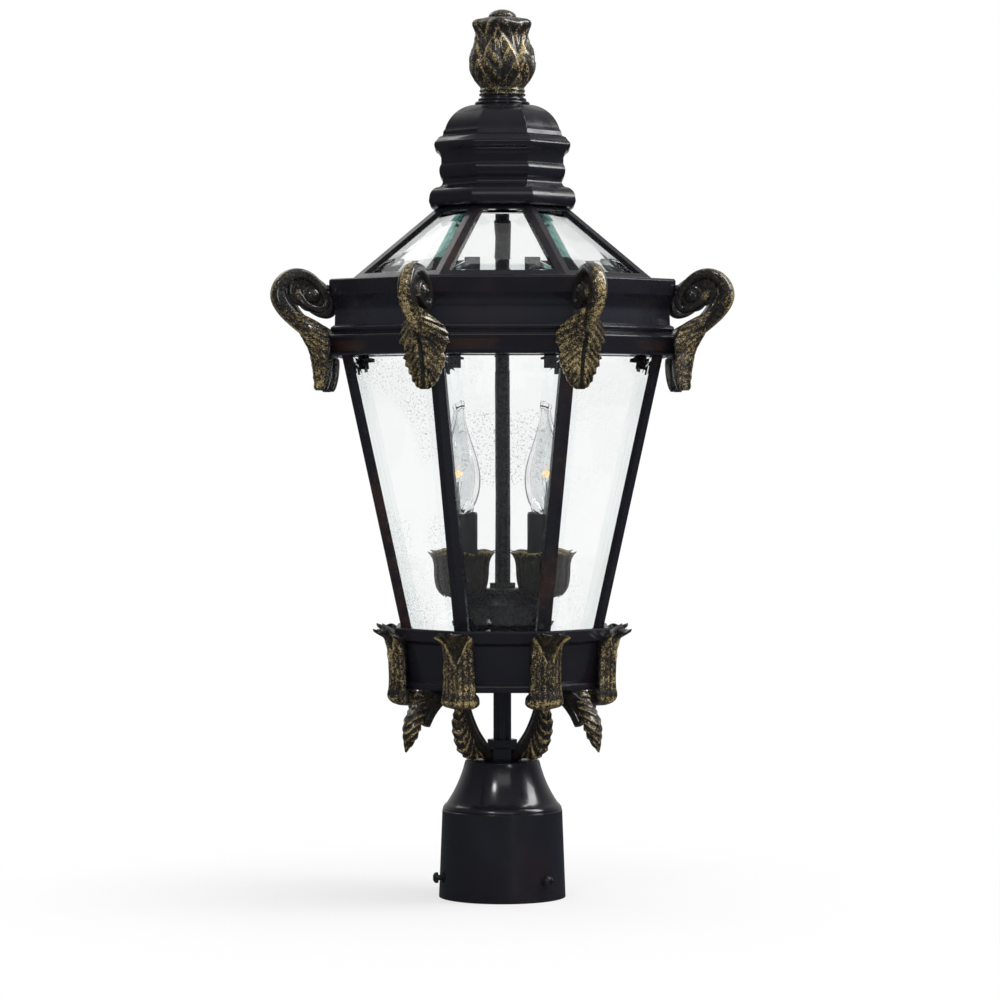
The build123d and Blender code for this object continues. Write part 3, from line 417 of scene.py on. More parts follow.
BRONZE = bronze("black_bronze")
RUBBED = bronze("rubbed_bronze", brown=0.5, rough=0.22)
CORNICE = bronze("cornice_bronze", bands=True)
GILT = gilding("antique_gold")
CUP_GILT = gilding("cup_gold", specular=0.075, coat=0.0)
SEEDED = seeded_glass()
ROOF_GLASS = roof_glass()
BULB = bulb_glass()
SLEEVE = plain_metal("candle_black", (0.0075, 0.008, 0.011), 0.0, 0.35, specular=0.2)
INNER = plain_metal("inner_black", (0.0075, 0.0075, 0.011), 0.0, 0.26, specular=0.2)
PHENOLIC = plain_metal("socket_black", (0.03, 0.03, 0.03), 0.0, 0.6)
BRASS = plain_metal("lamp_brass", (0.62, 0.46, 0.20), 1.0, 0.35)
STEEL = plain_metal("screw_steel", (0.035, 0.035, 0.04), 0.4, 0.3)
PLATED = plain_metal("plated_steel", (0.45, 0.46, 0.48), 1.0, 0.25)
MOUNT_GLASS = plain_metal("lamp_stem", (0.35, 0.38, 0.38), 0.0, 0.2)
FILAMENT = glow("filament", (1.0, 0.36, 0.08), 3.0)

# finish of a CAD node by its material slot, and of the nodes that differ
CAD_FINISH = {
    "black_bronze": BRONZE, "gilt_bronze": GILT, "screw_black": STEEL, "seeded_glass": SEEDED,
    "clear_glass": ROOF_GLASS, "candle_black": SLEEVE, "socket_plastic": PHENOLIC,
    "lamp_brass": BRASS, "bulb_glass": BULB,
}
NODE_FINISH = {
    "roof_frame": RUBBED, "corner_rails": RUBBED, "cornice_ring": CORNICE, "center_rod": INNER,
    "cluster_can": INNER, "light_branches": INNER, "rod_nuts": INNER, "glass_clips": INNER,
}
WELD_DISTANCE = 0.000002
EDGE_ANGLE = radians(28)


def dress_cad():
    """Finishes for the CAD nodes, with sharp edges kept and curved faces smooth."""
    slots = {row["node"]: row["material_slot"] for row in frame["record"]["subparts"]}
    for name, node in frame["nodes"].items():
        node.data.materials.clear()
        node.data.materials.append(NODE_FINISH.get(name, CAD_FINISH[slots[name]]))
        node.data.polygons.foreach_set("use_smooth", [True] * len(node.data.polygons))
        weld = node.modifiers.new("weld", "WELD")
        weld.merge_threshold = WELD_DISTANCE
        split = node.modifiers.new("edges", "EDGE_SPLIT")
        split.split_angle = EDGE_ANGLE


# ---------------------------------------------------------------- corner scrolls
SCROLL_EYE = (151.93, 440.5)  # from the axis, and height
LEAF_TOP = 430.0
# height, half width, midrib's and edge's distance from the axis, back's at the middle
ACANTHUS = [
    (373.7, 2.8, 144.4, 143.4, 140.6), (375.5, 5.2, 145.1, 143.2, 141.0), (378.5, 7.6, 145.7, 142.8, 141.2),
    (382.0, 9.6, 146.1, 142.4, 141.2), (387.0, 12.0, 146.7, 142.2, 141.4), (392.0, 14.4, 147.4, 142.2, 141.8),
    (396.5, 15.8, 148.2, 142.4, 141.0), (399.8, 15.4, 149.2, 142.6, 138.4), (402.4, 14.7, 150.2, 142.8, 138.0),
    (405.0, 16.6, 151.4, 142.8, 138.0), (409.0, 18.7, 153.8, 143.2, 138.2), (413.0, 18.4, 156.4, 143.6, 139.2),
    (417.0, 17.0, 159.2, 144.8, 143.6), (421.0, 13.6, 162.8, 147.8, 149.6), (425.0, 9.4, 166.8, 153.6, 157.0),
    (430.0, 6.4, 171.4, 163.4, 164.6),
]
LEAF_TIP = ACANTHUS[0][0]
# tongue behind the leaf: height, half width, front's and rear's distance from the axis
TONGUE = [
    (398.6, 8.6, 142.6, 134.4), (394.0, 8.4, 142.6, 134.0), (386.0, 7.0, 142.0, 134.4), (380.0, 5.2, 141.2, 135.4),
    (376.0, 3.4, 140.2, 136.6), (373.9, 1.2, 139.0, 137.8),
]
# the strip's middle line from the eye: outwards, upwards
VOLUTE = [
    (-7.5, -31.0), (-4.0, -26.5), (1.5, -23.0), (8.7, -17.2), (16.4, -10.0), (21.4, -3.2), (22.9, 2.4), (21.2, 8.8),
    (16.8, 14.0), (11.4, 16.6), (6.0, 17.0), (0.8, 15.6), (-4.2, 12.4), (-8.6, 7.9), (-11.8, 2.6), (-13.4, -2.4),
    (-12.4, -6.4), (-9.0, -8.4), (-4.8, -8.1), (-0.8, -6.7), (2.9, -4.3), (6.0, -1.0), (8.0, 2.8), (8.5, 5.8),
]
# the strip's half depth and half width at shares of its length
STRIP_DEPTH = [
    (0, 2.6), (0.08, 4.4), (0.18, 5.2), (0.34, 5.3), (0.48, 4.4), (0.60, 3.7), (0.80, 3.1), (0.90, 2.7), (0.96, 3.3),
    (1.0, 2.0),
]
STRIP_WIDTH = [(0, 3.2), (0.1, 5.2), (0.2, 6.0), (0.5, 5.7), (0.8, 4.9), (0.95, 4.4), (1.0, 3.0)]
# discs that fill the curl: outwards and upwards from the eye, radius, half thickness, swell of the faces
DISCS = [(4.5, 5.5, 11.5, 2.0, 0), (-3.0, 0.5, 9.0, 2.8, 0), (-3.4, 1.4, 6.4, 2.6, 2.6), (-3.4, 1.4, 2.6, 4.8, 1.2)]
# peg between the scroll and the cornice: radius, distance out from PEG_AT
PEG = [(0.3, 0.3), (2.4, 0.4), (2.7, 1.4), (1.7, 2.4), (1.9, 3.0), (3.0, 4.4), (3.1, 5.6), (2.0, 7.6), (1.6, 12.0)]
PEG_AT = (135.75, 447.6)


def scroll_leaf(shape):
    """Acanthus leaf: puffed lobes between raised veins, a serrated edge and halves that bend back."""
    n, m = 150, 61
    v = np.linspace(0, 1, n)[:, None]
    u = np.linspace(-1, 1, m)
    z_mid = LEAF_TOP + (LEAF_TIP - LEAF_TOP) * v
    width, rib, edge, hollow = (c[:, None] for c in smooth(ACANTHUS, z_mid[:, 0]))
    a = np.abs(u)[None]
    lobe = ridge(10.5 * v - 2.4 * a**0.9)
    strong = step(0.10, 0.5, a) * step(0.02, 0.16, v)
    y = u[None] * width * (1 + 0.085 * (lobe - 0.5) * step(0.55, 1.0, a) * step(0.04, 0.2, v))
    across = a * width
    r = rib - (rib - edge) * a**1.5 + 2.5 * (lobe - 0.45) * strong * (1 - 0.3 * a)
    r = r - 1.6 * np.exp(-((across / 1.3) ** 2)) * step(0.12, 0.3, v)
    r = r + 0.9 * np.exp(-(((across - 2.9) / 1.3) ** 2)) * step(0.12, 0.3, v)
    z = z_mid - 1.5 * a * step(0.1, 0.5, v) * (1 - step(0.9, 1.0, v))
    back = hollow + (edge - 2.2 - hollow) * a**1.3
    back = np.minimum(back, r - 1.0)
    gilt = (0.44 + 0.24 * lobe**1.2) * step(0.04, 0.22, across / 10) + 0.1 * (1 - strong)
    rows = np.concatenate([np.stack([r, y, z], 2), np.stack([back, y * 0.985, z], 2)[:, ::-1]], 1)
    shape.grid(rows, np.concatenate([gilt, 0.12 + 0 * gilt], 1))
    # smooth tongue behind the leaf, from the cornice's corner to a second tip
    t = np.linspace(0, 2 * pi, 28, endpoint=False)
    level, half, front, rear = (c[:, None] for c in line_through(TONGUE, 40).T)
    x = (front + rear) / 2 + (front - rear) / 2 * np.cos(t)[None]
    shape.grid(np.stack([x, half * np.sin(t)[None], level + 0 * x], 2), 0.0)


def scroll():
    """Strip that rises from the leaf, turns over and curls inwards round a glossy boss."""
    shape = Shape()
    eye = np.array(SCROLL_EYE)
    line = line_through([eye + q for q in VOLUTE], 210)
    run = np.linspace(0, 1, len(line))
    a, b = section(36, 2.5, 0.10)
    rows = bar(line, smooth(STRIP_WIDTH, run)[0], smooth(STRIP_DEPTH, run)[0], a, b)
    outer = 0.26 + 0.24 * np.clip(b, 0, 1)[None] + 0.20 * (np.abs(b) > 0.9)[None]
    gilt = (1 - step(0.42, 0.60, run))[:, None] * outer + 0.55 * step(0.93, 0.96, run)[:, None]
    shape.grid(rows, gilt + 0.02)
    ring = np.linspace(0, 2 * pi, 40, endpoint=False)
    for out, up, reach, half, dome in DISCS:
        x, z = eye[0] + out, eye[1] + up
        profile = [(0.2, half + dome), (reach * 0.4, half + dome * 0.86), (reach * 0.75, half + dome * 0.5)]
        profile += [(reach - 0.7, half), (reach, half - 0.8)]
        profile = [(q, -h) for q, h in profile] + [(q, h) for q, h in profile[::-1]]
        shape.grid([[(x + q * cos(t), h, z + q * sin(t)) for t in ring] for q, h in profile], 0.0)
    x, z = PEG_AT
    shape.grid([[(x + out, q * cos(t), z + q * sin(t)) for t in ring] for q, out in PEG], 0.1)
    scroll_leaf(shape)
    return shape.mesh("corner_scroll_shape")


# ---------------------------------------------------------------- gallery leaves
# share of the height, bulge over the gallery's corner, half width, inner side's offset
TULIP = [
    (0.0, -3.4, 7.8, -7.5), (0.025, 0.8, 11.4, -4.0), (0.06, 3.6, 13.3, -4.0), (0.11, 5.1, 13.9, -4.0),
    (0.17, 5.2, 13.6, -3.6), (0.2152, 4.6, 13.0, 0.1), (0.32, 4.2, 12.6, 0.1), (0.45, 4.3, 12.4, 0.1),
    (0.58, 4.6, 12.2, 0.1), (0.68, 4.9, 12.0, 0.1), (0.78, 6.2, 12.0, 0.1), (0.87, 9.2, 12.6, 1.2),
    (0.94, 13.2, 13.6, 5.5), (1.0, 17.6, 14.6, 12.5),
]


def tulip():
    """Rolled leaf: upright ribs, two side petals that part in a V, a flared and ruffled top."""
    shape = Shape()
    seat = GALLERY_HALF / cos(HALF_TURN)
    foot, top = GALLERY_Z - 11.8, GALLERY_TOP - 1.6
    n, m = 120, 57
    v = np.linspace(0, 1, n)
    u = np.linspace(-1, 1, m)
    bulge, half, tuck = smooth(TULIP, v)
    a = np.abs(u)[None]
    vv = v[:, None]
    fold = np.clip((vv - 0.56) / 0.44, 0, 1) * 0.98
    inside = step(-0.05, 0.05, fold - a)
    lip = np.exp(-(((a - fold) / 0.075) ** 2)) * step(0.54, 0.60, vv)
    ribs = np.abs(np.cos(3.5 * pi * u))[None] ** 0.7
    low = 1 - step(0.62, 0.8, vv)
    r = seat + bulge[:, None] - 3.9 * a**2.2 - half[:, None] * a * tan(HALF_TURN) * 0.62
    r = r + 0.95 * (ribs - 0.5) * (0.25 + 0.75 * low) * (1 - inside) * step(0.03, 0.12, vv)
    r = r - 3.2 * inside * (1 - 0.4 * step(0.85, 1, vv)) + 1.2 * lip
    flare = step(0.8, 1.0, vv)
    r = r + flare * 1.5 * np.cos(4.3 * u)[None] - 1.2 * flare * a**2
    r = r - 0.5 * inside * np.abs(np.sin(5 * pi * u))[None] * (1 - flare)
    y = u[None] * half[:, None] * (1 + 0.02 * np.sin(9 * pi * vv))
    level = foot + vv * (top - foot)
    ruffle = flare * (1.3 * np.cos(3 * pi * u)[None] - 1.2 * a**2)
    back = seat + tuck[:, None] - np.abs(y) * tan(HALF_TURN)
    back = np.minimum(back, r - 1.0)
    # less gilt inside the V fold: partly the gold thinning in the hollow, partly painted shade that darkens the fold
    gilt = 0.32 + 0.30 * ribs * (1 - 0.6 * inside) + 0.5 * lip - 0.15 * inside
    gilt = gilt + 0.25 * np.exp(-(((vv - 0.09) / 0.04) ** 2)) - 0.3 * np.exp(-(((vv - 0.17) / 0.03) ** 2))
    front = np.stack([r, y, level + ruffle], 2)
    rear = np.stack([back, y * 0.97, level + ruffle * 0.9], 2)
    rows = np.concatenate([front, rear[:, ::-1]], 1)
    shape.grid(rows, np.concatenate([gilt, 0.1 + 0.45 * (vv < 0.22) + 0 * gilt], 1))
    return shape.mesh("gallery_leaf_shape")


# ---------------------------------------------------------------- scrolled arms
ARM_REACH = 92.0
ARM_FOOT = (HUB_HALF * sqrt(2) - 6 / sqrt(2), FITTER_TOP + 4.2)  # from the axis, and height
ARM_SPAN = (ARM_REACH - ARM_FOOT[0], GALLERY_Z - FITTER_TOP)
PENDANT = 35  # length of the leaf that hangs from the arm


def arm_points(pairs):
    """Places (from the axis, height) of shares of the arm's span."""
    return [(ARM_FOOT[0] + u * ARM_SPAN[0], ARM_FOOT[1] + v * ARM_SPAN[1]) for u, v in pairs]


def banded(shape, points, half_widths, half_depths, bands, slant):
    """Leaf along a line, banded like a twisted rope."""
    line = line_through(points, 110)
    run = np.linspace(0, 1, len(line))
    knots = np.linspace(0, 1, len(half_widths))
    wide = smooth(np.stack([knots, half_widths], 1), run)[0]
    deep = smooth(np.stack([knots, half_depths], 1), run)[0]
    a, b = section(44, 2.4)
    lobe = ridge(bands * run[:, None] + slant * (b[None] * 0.5 + np.abs(a)[None] * 0.35))
    fade = step(0.0, 0.06, run) * (1 - 0.5 * step(0.92, 1.0, run))
    lift = 1 + 0.20 * (lobe - 0.6) * fade[:, None]
    shape.grid(bar(line, wide, deep, a, b, lift), 0.10 + 0.72 * lobe**1.3)


def arm():
    """Dark S-shaped stem and web with a gilded rope-banded leaf on the stem and another that hangs from its end."""
    shape = Shape()
    spine = [(-0.012, 0), (0.03, 0), (0.08, 0.06), (0.15, 0.155), (0.22, 0.27), (0.29, 0.44), (0.345, 0.62)]
    spine += [(0.41, 0.77), (0.50, 0.835), (0.60, 0.82), (0.68, 0.755), (0.775, 0.63), (0.846, 0.49)]
    line = line_through(arm_points(spine), 140)
    run = np.linspace(0, 1, len(line))
    a, b = section(32, 2.8)
    swell = 1 + 0.06 * np.sin(7 * run)
    neck = 1 - 0.12 * (1 - step(0, 0.06, run))
    shape.grid(bar(line, 4.1 * swell, 3.9 * neck * swell, a, b), 0.0)
    # web that fills the space between the stem and the gallery
    under = arm_points([(0.43, 0.77), (0.50, 0.835), (0.68, 0.755), (0.775, 0.63), (0.846, 0.49), (0.885, 0.62)])
    over = [(46.6, GALLERY_Z), (54, GALLERY_Z), (62, GALLERY_Z), (67, GALLERY_Z), (71.9, GALLERY_Z), (84.0, 149.4)]
    low, high = line_through(under, 40), line_through(over, 40)
    t = np.linspace(0, 2 * pi, 28, endpoint=False)
    side = np.sign(np.sin(t)) * np.abs(np.sin(t)) ** 0.5
    rise = 0.5 - 0.5 * np.sign(np.cos(t)) * np.abs(np.cos(t)) ** 0.5
    x = low[:, :1] + (high[:, :1] - low[:, :1]) * rise[None]
    z = low[:, 1:] + (high[:, 1:] - low[:, 1:]) * rise[None]
    shape.grid(np.stack([x, 3.2 * side[None] + 0 * x, z], 2), 0.0)
    curl = [(0.05, 0.005), (0.128, 0.02), (0.244, 0.057), (0.33, 0.203), (0.38, 0.359), (0.397, 0.469)]
    curl += [(0.395, 0.597), (0.378, 0.70)]
    wide = np.array([0.3, 0.55, 0.8, 1.0, 1.0, 0.95, 0.8, 0.42]) * 5.25
    deep = np.array([0.27, 0.42, 0.73, 1.0, 0.87, 0.77, 0.6, 0.28]) * 7.5
    banded(shape, arm_points(curl), wide, deep, 8.5, 1.6)
    root_x, root_z = arm_points([(0.89, 0.78)])[0]
    drop = [(-0.10, 0.04), (0.06, -0.12), (0.22, -0.40), (0.32, -0.72), (0.43, -1.0)]
    path = [(root_x + PENDANT * u, root_z + PENDANT * v) for u, v in drop]
    wide = np.array([0.45, 0.9, 1.0, 0.74, 0.10])
    banded(shape, path, 6.6 * wide, 6.1 * wide, 6.5, 1.7)
    return shape.mesh("scroll_arm_shape")


# ---------------------------------------------------------------- finial
# share of the finial's height, radius
FINIAL = [
    (0.0, 16.9), (0.016, 17.2), (0.034, 16.1), (0.055, 16.9), (0.08, 16.2), (0.127, 17.7), (0.159, 19.0),
    (0.222, 21.3), (0.286, 22.9), (0.365, 23.7), (0.444, 23.3), (0.524, 22.1), (0.603, 20.4), (0.66, 19.3),
    (0.71, 19.4), (0.76, 20.4), (0.805, 21.4), (0.835, 21.2), (0.86, 19.6), (0.885, 16.0), (0.900, 12.6), (0.905, 10.6),
]
PETALS = 5
# button on top: radius, depth below the top
BUTTON = [(9.4, 9.5), (9.9, 6.8), (10.3, 5.4), (9.8, 4.0), (8.4, 2.5), (6.0, 1.2), (3.0, 0.3), (0.3, 0)]


def tulip_finial():
    """Closed tulip: a few broad overlapping petals with slanting folds, a lobed lip and a domed button."""
    shape = Shape()
    n, m = 170, 160
    v = np.linspace(0, FINIAL[-1][0], n)
    base = smooth(FINIAL, v)[0][:, None]
    t = np.linspace(0, 2 * pi, m, endpoint=False)[None]
    vv = v[:, None]
    spun = t + 0.55 + 0.35 * vv
    local = ((spun * PETALS / (2 * pi) + 0.5) % 1 - 0.5) * 2
    other = ((spun * PETALS / (2 * pi)) % 1 - 0.5) * 2
    body = step(0.09, 0.2, vv)
    reach = np.clip(1.0 - ((vv - 0.10) / 0.62) ** 2, 0, None) ** 0.7
    front = step(-0.05, 0.08, reach - np.abs(other))
    side = np.abs(local) * (1 - front) + np.abs(other) * front
    folds = ridge(4.2 * vv - 1.5 * side + 0.3 * front)
    rim = step(0.68, 0.80, vv) * (1 - step(0.86, 0.90, vv))
    edge = np.exp(-(((reach - np.abs(other)) / 0.09) ** 2)) * body * (1 - rim)
    calm = body * (1 - step(0.80, 0.86, vv))
    r = base + calm * (1.3 * (front - 0.5) * (1 - rim) + 1.2 * (folds - 0.5) * (1 - 0.8 * rim) + 0.6 * edge)
    r = r - calm * 1.1 * np.exp(-((side / 0.10) ** 2)) * (1 - rim)
    lobes = np.cos(PETALS * t + 0.4) + 0.35 * np.cos(2 * PETALS * t + 1.1)
    r = r * (1 + 0.045 * rim * lobes)
    z = FINIAL_Z + FINIAL_HEIGHT * vv + 0 * r + rim * 0.8 * np.cos(PETALS * t + 0.4)
    gilt = (0.20 + 0.50 * folds**1.4) * body + 0.35 * edge + 0.42 * (1 - body) + 0.05 * rim
    shape.grid(np.stack([r * np.sin(t), -r * np.cos(t), z], 2), gilt)
    top = FINIAL_Z + FINIAL_HEIGHT
    shape.grid([[(q * cos(w), q * sin(w), top - h) for w in t[0]] for q, h in BUTTON], 0.35)
    return shape.mesh("finial_shape")


# ---------------------------------------------------------------- lights
def cup():
    """Fluted cup with a flared, scalloped lip."""
    shape = Shape()
    outer = [
        (24.0, 4.6), (25.0, 8.6), (26.6, 12.4), (30.2, 16.0), (34.0, 18.0), (38.0, 18.9), (43.0, 19.5), (48.0, 19.6),
        (51.5, 19.9), (55.0, 20.8), (57.6, 22.2), (59.4, 23.7), (60.1, 24.1),
    ]
    inner = [(59.9, 23.2), (57.6, 20.6), (54.0, 18.4), (48.0, 17.9), (42.0, 17.8), (36.0, 16.2), (32.4, 12.8)]
    t = np.linspace(0, 2 * pi, 128, endpoint=False)
    rows, gilt = [], []
    for k, (z, r) in enumerate(outer + inner):
        lip = float(step(54.0, 60.0, z))
        body = float(step(25.0, 32.0, z)) * (1 - lip)
        flute = np.abs(np.cos(8 * t)) ** 0.6 - 0.6
        wave = np.cos(8 * t) * 0.9 * lip
        rr = r + (flute * body if k < len(outer) else 0) + wave * 0.5
        zz = z + wave * 0.55 - 0.5 * lip
        rows.append(np.stack([rr * np.cos(t), rr * np.sin(t), zz + 0 * t], 1))
        gilt.append(-0.1 + 0.35 * np.clip(flute + 0.3, 0, 1) * body + 0.75 * lip)
    shape.grid(rows, np.array(gilt))
    return shape.mesh("light_cup_shape")


def bulb(bend):
    """Flame envelope with a drawn-out, slightly bent tip that ends in a small knob."""
    shape = Shape()
    profile = [
        (0.0, 5.9), (0.02, 6.0), (0.07, 8.4), (0.14, 11.4), (0.22, 13.2), (0.31, 14.0), (0.40, 13.6), (0.50, 11.9),
        (0.60, 9.4), (0.69, 6.9), (0.77, 4.7), (0.84, 3.1), (0.90, 2.1), (0.93, 1.6), (0.948, 1.5), (0.962, 1.9),
        (0.977, 2.15), (0.99, 1.8), (0.997, 1.0), (1.0, 0.3),
    ]
    v = np.concatenate([np.linspace(0, 0.92, 70), np.linspace(0.925, 1.0, 26)])
    t = np.linspace(0, 2 * pi, 48, endpoint=False)
    for wall, top in ((0.0, 1.0), (0.75, 0.93)):
        w = v[v <= top]
        r = np.maximum(smooth(profile, w)[0] - wall, 0.25)
        x = bend * step(0.62, 0.97, w)
        z = BULB_FOOT + BULB_HEIGHT * w + (0.6 if wall else 0.0)
        r, x, z = r[:, None], x[:, None], z[:, None]
        rows = np.stack([r * np.cos(t) + x, r * np.sin(t), z + 0 * t], 2)
        shape.grid(rows[:, ::-1] if wall else rows, 0.0)
    return shape.mesh("bulb_shape")


def bulb_inside():
    """Pressed stem, support wires and the filament's glow, as three meshes."""
    t = np.linspace(0, 2 * pi, 20, endpoint=False)
    stem = Shape()
    profile = [(4.6, 0.4), (4.2, 1.6), (2.4, 4.0), (1.8, 8.0), (1.6, 13.0), (1.9, 15.0), (0.9, 17.5), (0.7, 25.0)]
    profile += [(0.9, 26.0), (0.2, 26.6)]
    stem.grid([[(p * cos(s), p * sin(s), BULB_FOOT + h) for s in t] for p, h in profile])
    wires = Shape()
    for side in (-1, 1):
        line = line_through([(0.8 * side, 12.0), (2.2 * side, 19.0), (4.4 * side, 27.0), (4.9 * side, 31.5)], 20)
        rows = [[(x + 0.16 * cos(s), 0.16 * sin(s), BULB_FOOT + z) for s in t[::3]] for x, z in line]
        wires.grid(rows)
    coil = Shape()
    line = line_through([(-4.9, 31.5), (-2.6, 33.6), (0.0, 30.0), (2.6, 33.6), (4.9, 31.5)], 60)
    rows = []
    for k, (x, z) in enumerate(line):
        y, z = 0.25 * cos(2.2 * k), BULB_FOOT + z + 0.25 * sin(2.2 * k)
        rows.append([(x, y + 0.34 * cos(s), z + 0.34 * sin(s)) for s in t[::2]])
    coil.grid(rows)
    return stem.mesh("bulb_stem_shape"), wires.mesh("bulb_wires_shape"), coil.mesh("bulb_coil_shape")


def can_screws():
    """Round-headed screws round the foot of the can."""
    shape = Shape()
    ring = np.linspace(0, 2 * pi, 24, endpoint=False)
    up = np.array([0, 0, 1])
    for turn in (253, 343, 73, 163):
        s = radians(turn)
        way, side = np.array([cos(s), sin(s), 0]), np.array([-sin(s), cos(s), 0])
        for height, base in ((3.2, 34.0), (9.6, 32.8)):
            rows = []
            for p, out in ((1.0, 0), (1.9, 0.2), (2.0, 0.9), (1.4, 1.7), (0.2, 2.0)):
                middle = way * (base + out) + up * (DECK_Z + height)
                rows.append([middle + side * p * cos(q) + up * p * sin(q) for q in ring])
            shape.grid(rows)
    return shape.mesh("can_screws_shape")


# ---------------------------------------------------------------- putting it together
dress_cad()

for mesh, name, node, turns in (
    (scroll(), "carved_scroll", "corner_scroll", CORNERS),
    (tulip(), "carved_leaf", "gallery_leaf", CORNERS),
    (arm(), "carved_arm", "scroll_arm", QUARTERS),
):
    for k, turn in enumerate(turns, 1):
        place(mesh, f"{name}_{k}", "lantern", GILT, turn, nodes=[f"{node}_{k}"])
place(tulip_finial(), "carved_finial", "finial_nut", GILT, nodes=["finial"])

mesh = cup()
for k, turn in enumerate(QUARTERS, 1):
    place(mesh, f"fluted_cup_{k}", "lantern", CUP_GILT, turn, LIGHT_AT, nodes=["light_cups"])
shell = bulb(-1.2)
stem, wires, coil = bulb_inside()
for k, turn in enumerate(QUARTERS, 1):
    body = f"bulb_{k}"
    place(shell, f"flame_{k}", body, BULB, turn, LIGHT_AT, nodes=[f"bulb_glass_{k}"])
    place(stem, f"flame_stem_{k}", body, MOUNT_GLASS, turn, LIGHT_AT)
    place(wires, f"flame_wires_{k}", body, PLATED, turn, LIGHT_AT)
    place(coil, f"flame_coil_{k}", body, FILAMENT, turn, LIGHT_AT)
place(can_screws(), "can_screws", "lantern", PLATED)


# ---------------------------------------------------------------- floor, light and camera
BACKWARDS = 0.55  # how bright the surroundings on the front side are through glass


def pale_floor():
    """White floor that keeps the lantern's shadow and looks dim in polished metal."""
    finish, tree, spot = new_finish("floor")
    parts = add(tree, "SeparateXYZ", {"Vector": spot})
    x, y = parts.outputs["X"], parts.outputs["Y"]
    reach = from_axis(tree, x, y)
    rays = add(tree, "LightPath")
    ahead = between(tree, y, -0.30, -0.20, BACKWARDS, 1.0)
    through = calc(tree, "MULTIPLY", rays.outputs["Is Transmission Ray"], ahead)
    seen = calc(tree, "MAXIMUM", rays.outputs["Is Camera Ray"], through)
    far = between(tree, reach, 0.06, 0.42, 0.62, 1.0)
    fine = noise(tree, spot, 40, 2)
    tint = blend(tree, fine, (0.86, 0.86, 0.86), (0.90, 0.90, 0.90))
    matt = add(tree, "BsdfDiffuse", {"Color": tint})
    white = add(tree, "Emission", {"Color": (1, 1, 1, 1), "Strength": 1.0})
    share = calc(tree, "MULTIPLY", far, seen)
    shader = add(tree, "MixShader", {0: share, 1: matt.outputs[0], 2: white.outputs[0]})
    lift = calc(tree, "MULTIPLY", between(tree, y, -1.6, -1.0), between(tree, y, -0.8, -0.4, 1.0, 0.0))
    dim = calc(tree, "ADD", calc(tree, "MULTIPLY", lift, 0.12), 0.06)
    grey = add(tree, "Emission", {"Color": (0.8, 0.9, 1, 1), "Strength": dim})
    mirrored = calc(tree, "SUBTRACT", rays.outputs["Is Glossy Ray"], through)
    shader = add(tree, "MixShader", {0: mirrored, 1: shader.outputs[0], 2: grey.outputs[0]})
    close(tree, shader.outputs[0])
    shape = Shape()
    ring = np.linspace(0, 2 * pi, 96, endpoint=False)
    radii = (20, 200, 800, 4000, 12000)
    shape.grid([[(r * cos(t), r * sin(t), -0.05) for t in ring] for r in radii], ends=(True, False))
    floor = bpy.data.objects.new("floor", shape.mesh("floor_shape"))
    floor.data.materials.append(finish)
    bpy.context.scene.collection.objects.link(floor)


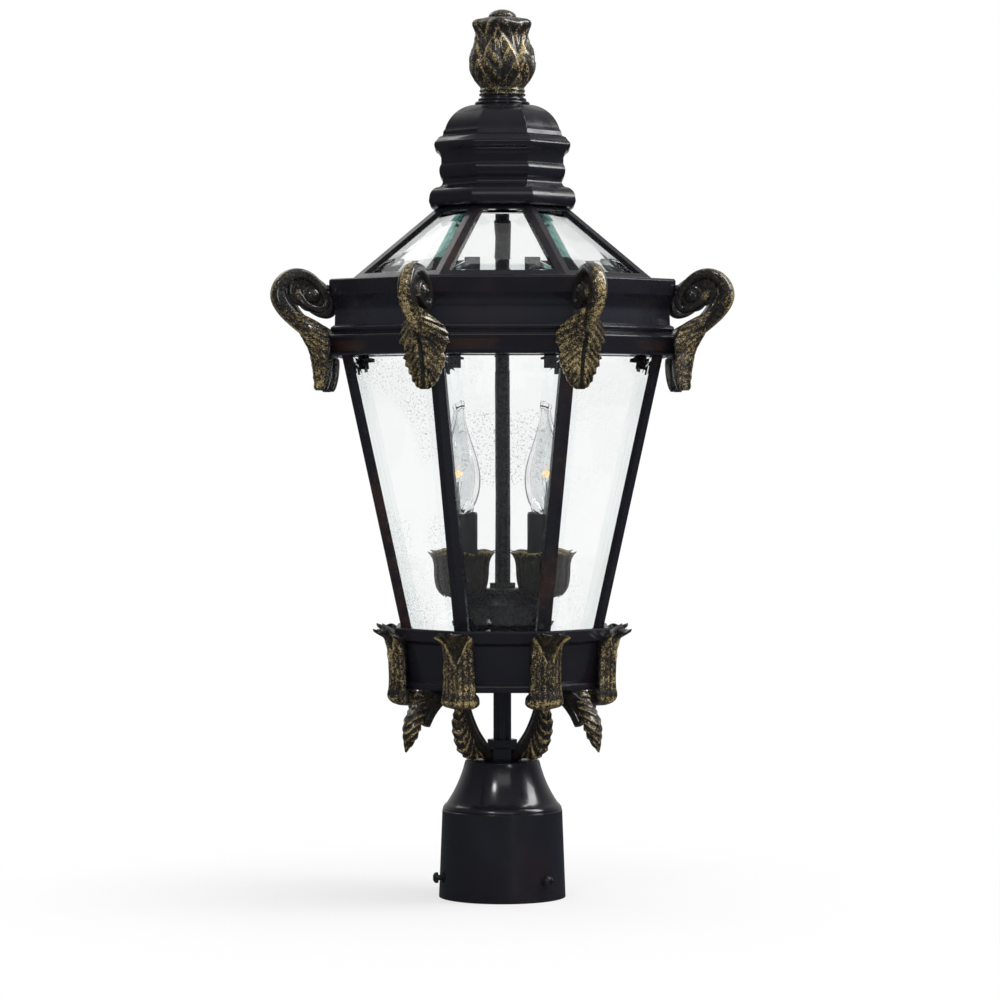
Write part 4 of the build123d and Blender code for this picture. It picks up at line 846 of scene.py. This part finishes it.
def sky():
    """White to the camera and through glass, a dark studio in polished metal, soft light on the rest."""
    world = bpy.data.worlds.new("studio")
    bpy.context.scene.world = world
    world.use_nodes = True
    tree = world.node_tree
    tree.nodes.clear()
    rays = add(tree, "LightPath")
    way = add(tree, "SeparateXYZ", {"Vector": add(tree, "TexCoord").outputs["Generated"]})
    onward = between(tree, way.outputs["Y"], -0.1, 0.1, BACKWARDS, 1.0)
    through = calc(tree, "MULTIPLY", rays.outputs["Is Transmission Ray"], onward)
    seen = calc(tree, "MAXIMUM", rays.outputs["Is Camera Ray"], through)
    behind = between(tree, way.outputs["Y"], 0.1, 0.95, 0.06, 0.35)
    above = between(tree, way.outputs["Z"], 0.35, 0.95, 0.0, 0.14)
    mirrored = calc(tree, "MULTIPLY", rays.outputs["Is Glossy Ray"], calc(tree, "ADD", behind, above))
    lit = calc(tree, "MULTIPLY", calc(tree, "SUBTRACT", 1.0, rays.outputs["Is Glossy Ray"]), 0.60)
    dim = calc(tree, "ADD", mirrored, lit)
    power = calc(tree, "ADD", seen, calc(tree, "MULTIPLY", calc(tree, "SUBTRACT", 1.0, seen), dim))
    shader = add(tree, "Background", {"Color": (1, 1, 1, 1), "Strength": power})
    add(tree, "OutputWorld", {"Surface": shader.outputs[0]})


def softbox(name, power, size, at, look=(0, 0, 0.35)):
    """Oblong lamp (watts, metres) at a place, turned towards another."""
    lamp = bpy.data.lights.new(name, "AREA")
    lamp.shape = "RECTANGLE"
    lamp.size, lamp.size_y = size
    lamp.energy = power
    holder = bpy.data.objects.new(name, lamp)
    holder.location = at
    holder.rotation_euler = (Vector(look) - Vector(at)).to_track_quat("-Z", "Y").to_euler()
    bpy.context.scene.collection.objects.link(holder)


CAMERA_AT = (-0.0017, -2.59, 0.344)
CAMERA_DOWN = 1.127  # degrees below level
FOCAL_LENGTH = 126


def camera():
    """Camera where the photograph was taken from."""
    lens = bpy.data.cameras.new("camera")
    lens.sensor_width = 36
    lens.lens = FOCAL_LENGTH
    lens.clip_start, lens.clip_end = 0.05, 60
    view = bpy.data.objects.new("camera", lens)
    bpy.context.scene.collection.objects.link(view)
    tilt = Matrix.Rotation(radians(90 - CAMERA_DOWN), 4, "X")
    view.matrix_world = Matrix.Translation(CAMERA_AT) @ tilt
    bpy.context.scene.camera = view


pale_floor()
sky()
softbox("key", 18, (0.5, 1.3), (1.15, -0.1, 1.45), (0, 0, 0.45))
softbox("front", 6, (0.3, 0.3), (-0.75, -1.75, 1.75))
softbox("brow", 2.4, (1.6, 0.5), (0.2, -2.3, 1.7))
softbox("low", 2.2, (0.3, 0.5), (0.9, -2.2, 0.55))
softbox("back", 2, (0.8, 0.6), (-1.0, 1.2, 1.6))
camera()
bpy.context.scene.view_settings.view_transform = "Standard"
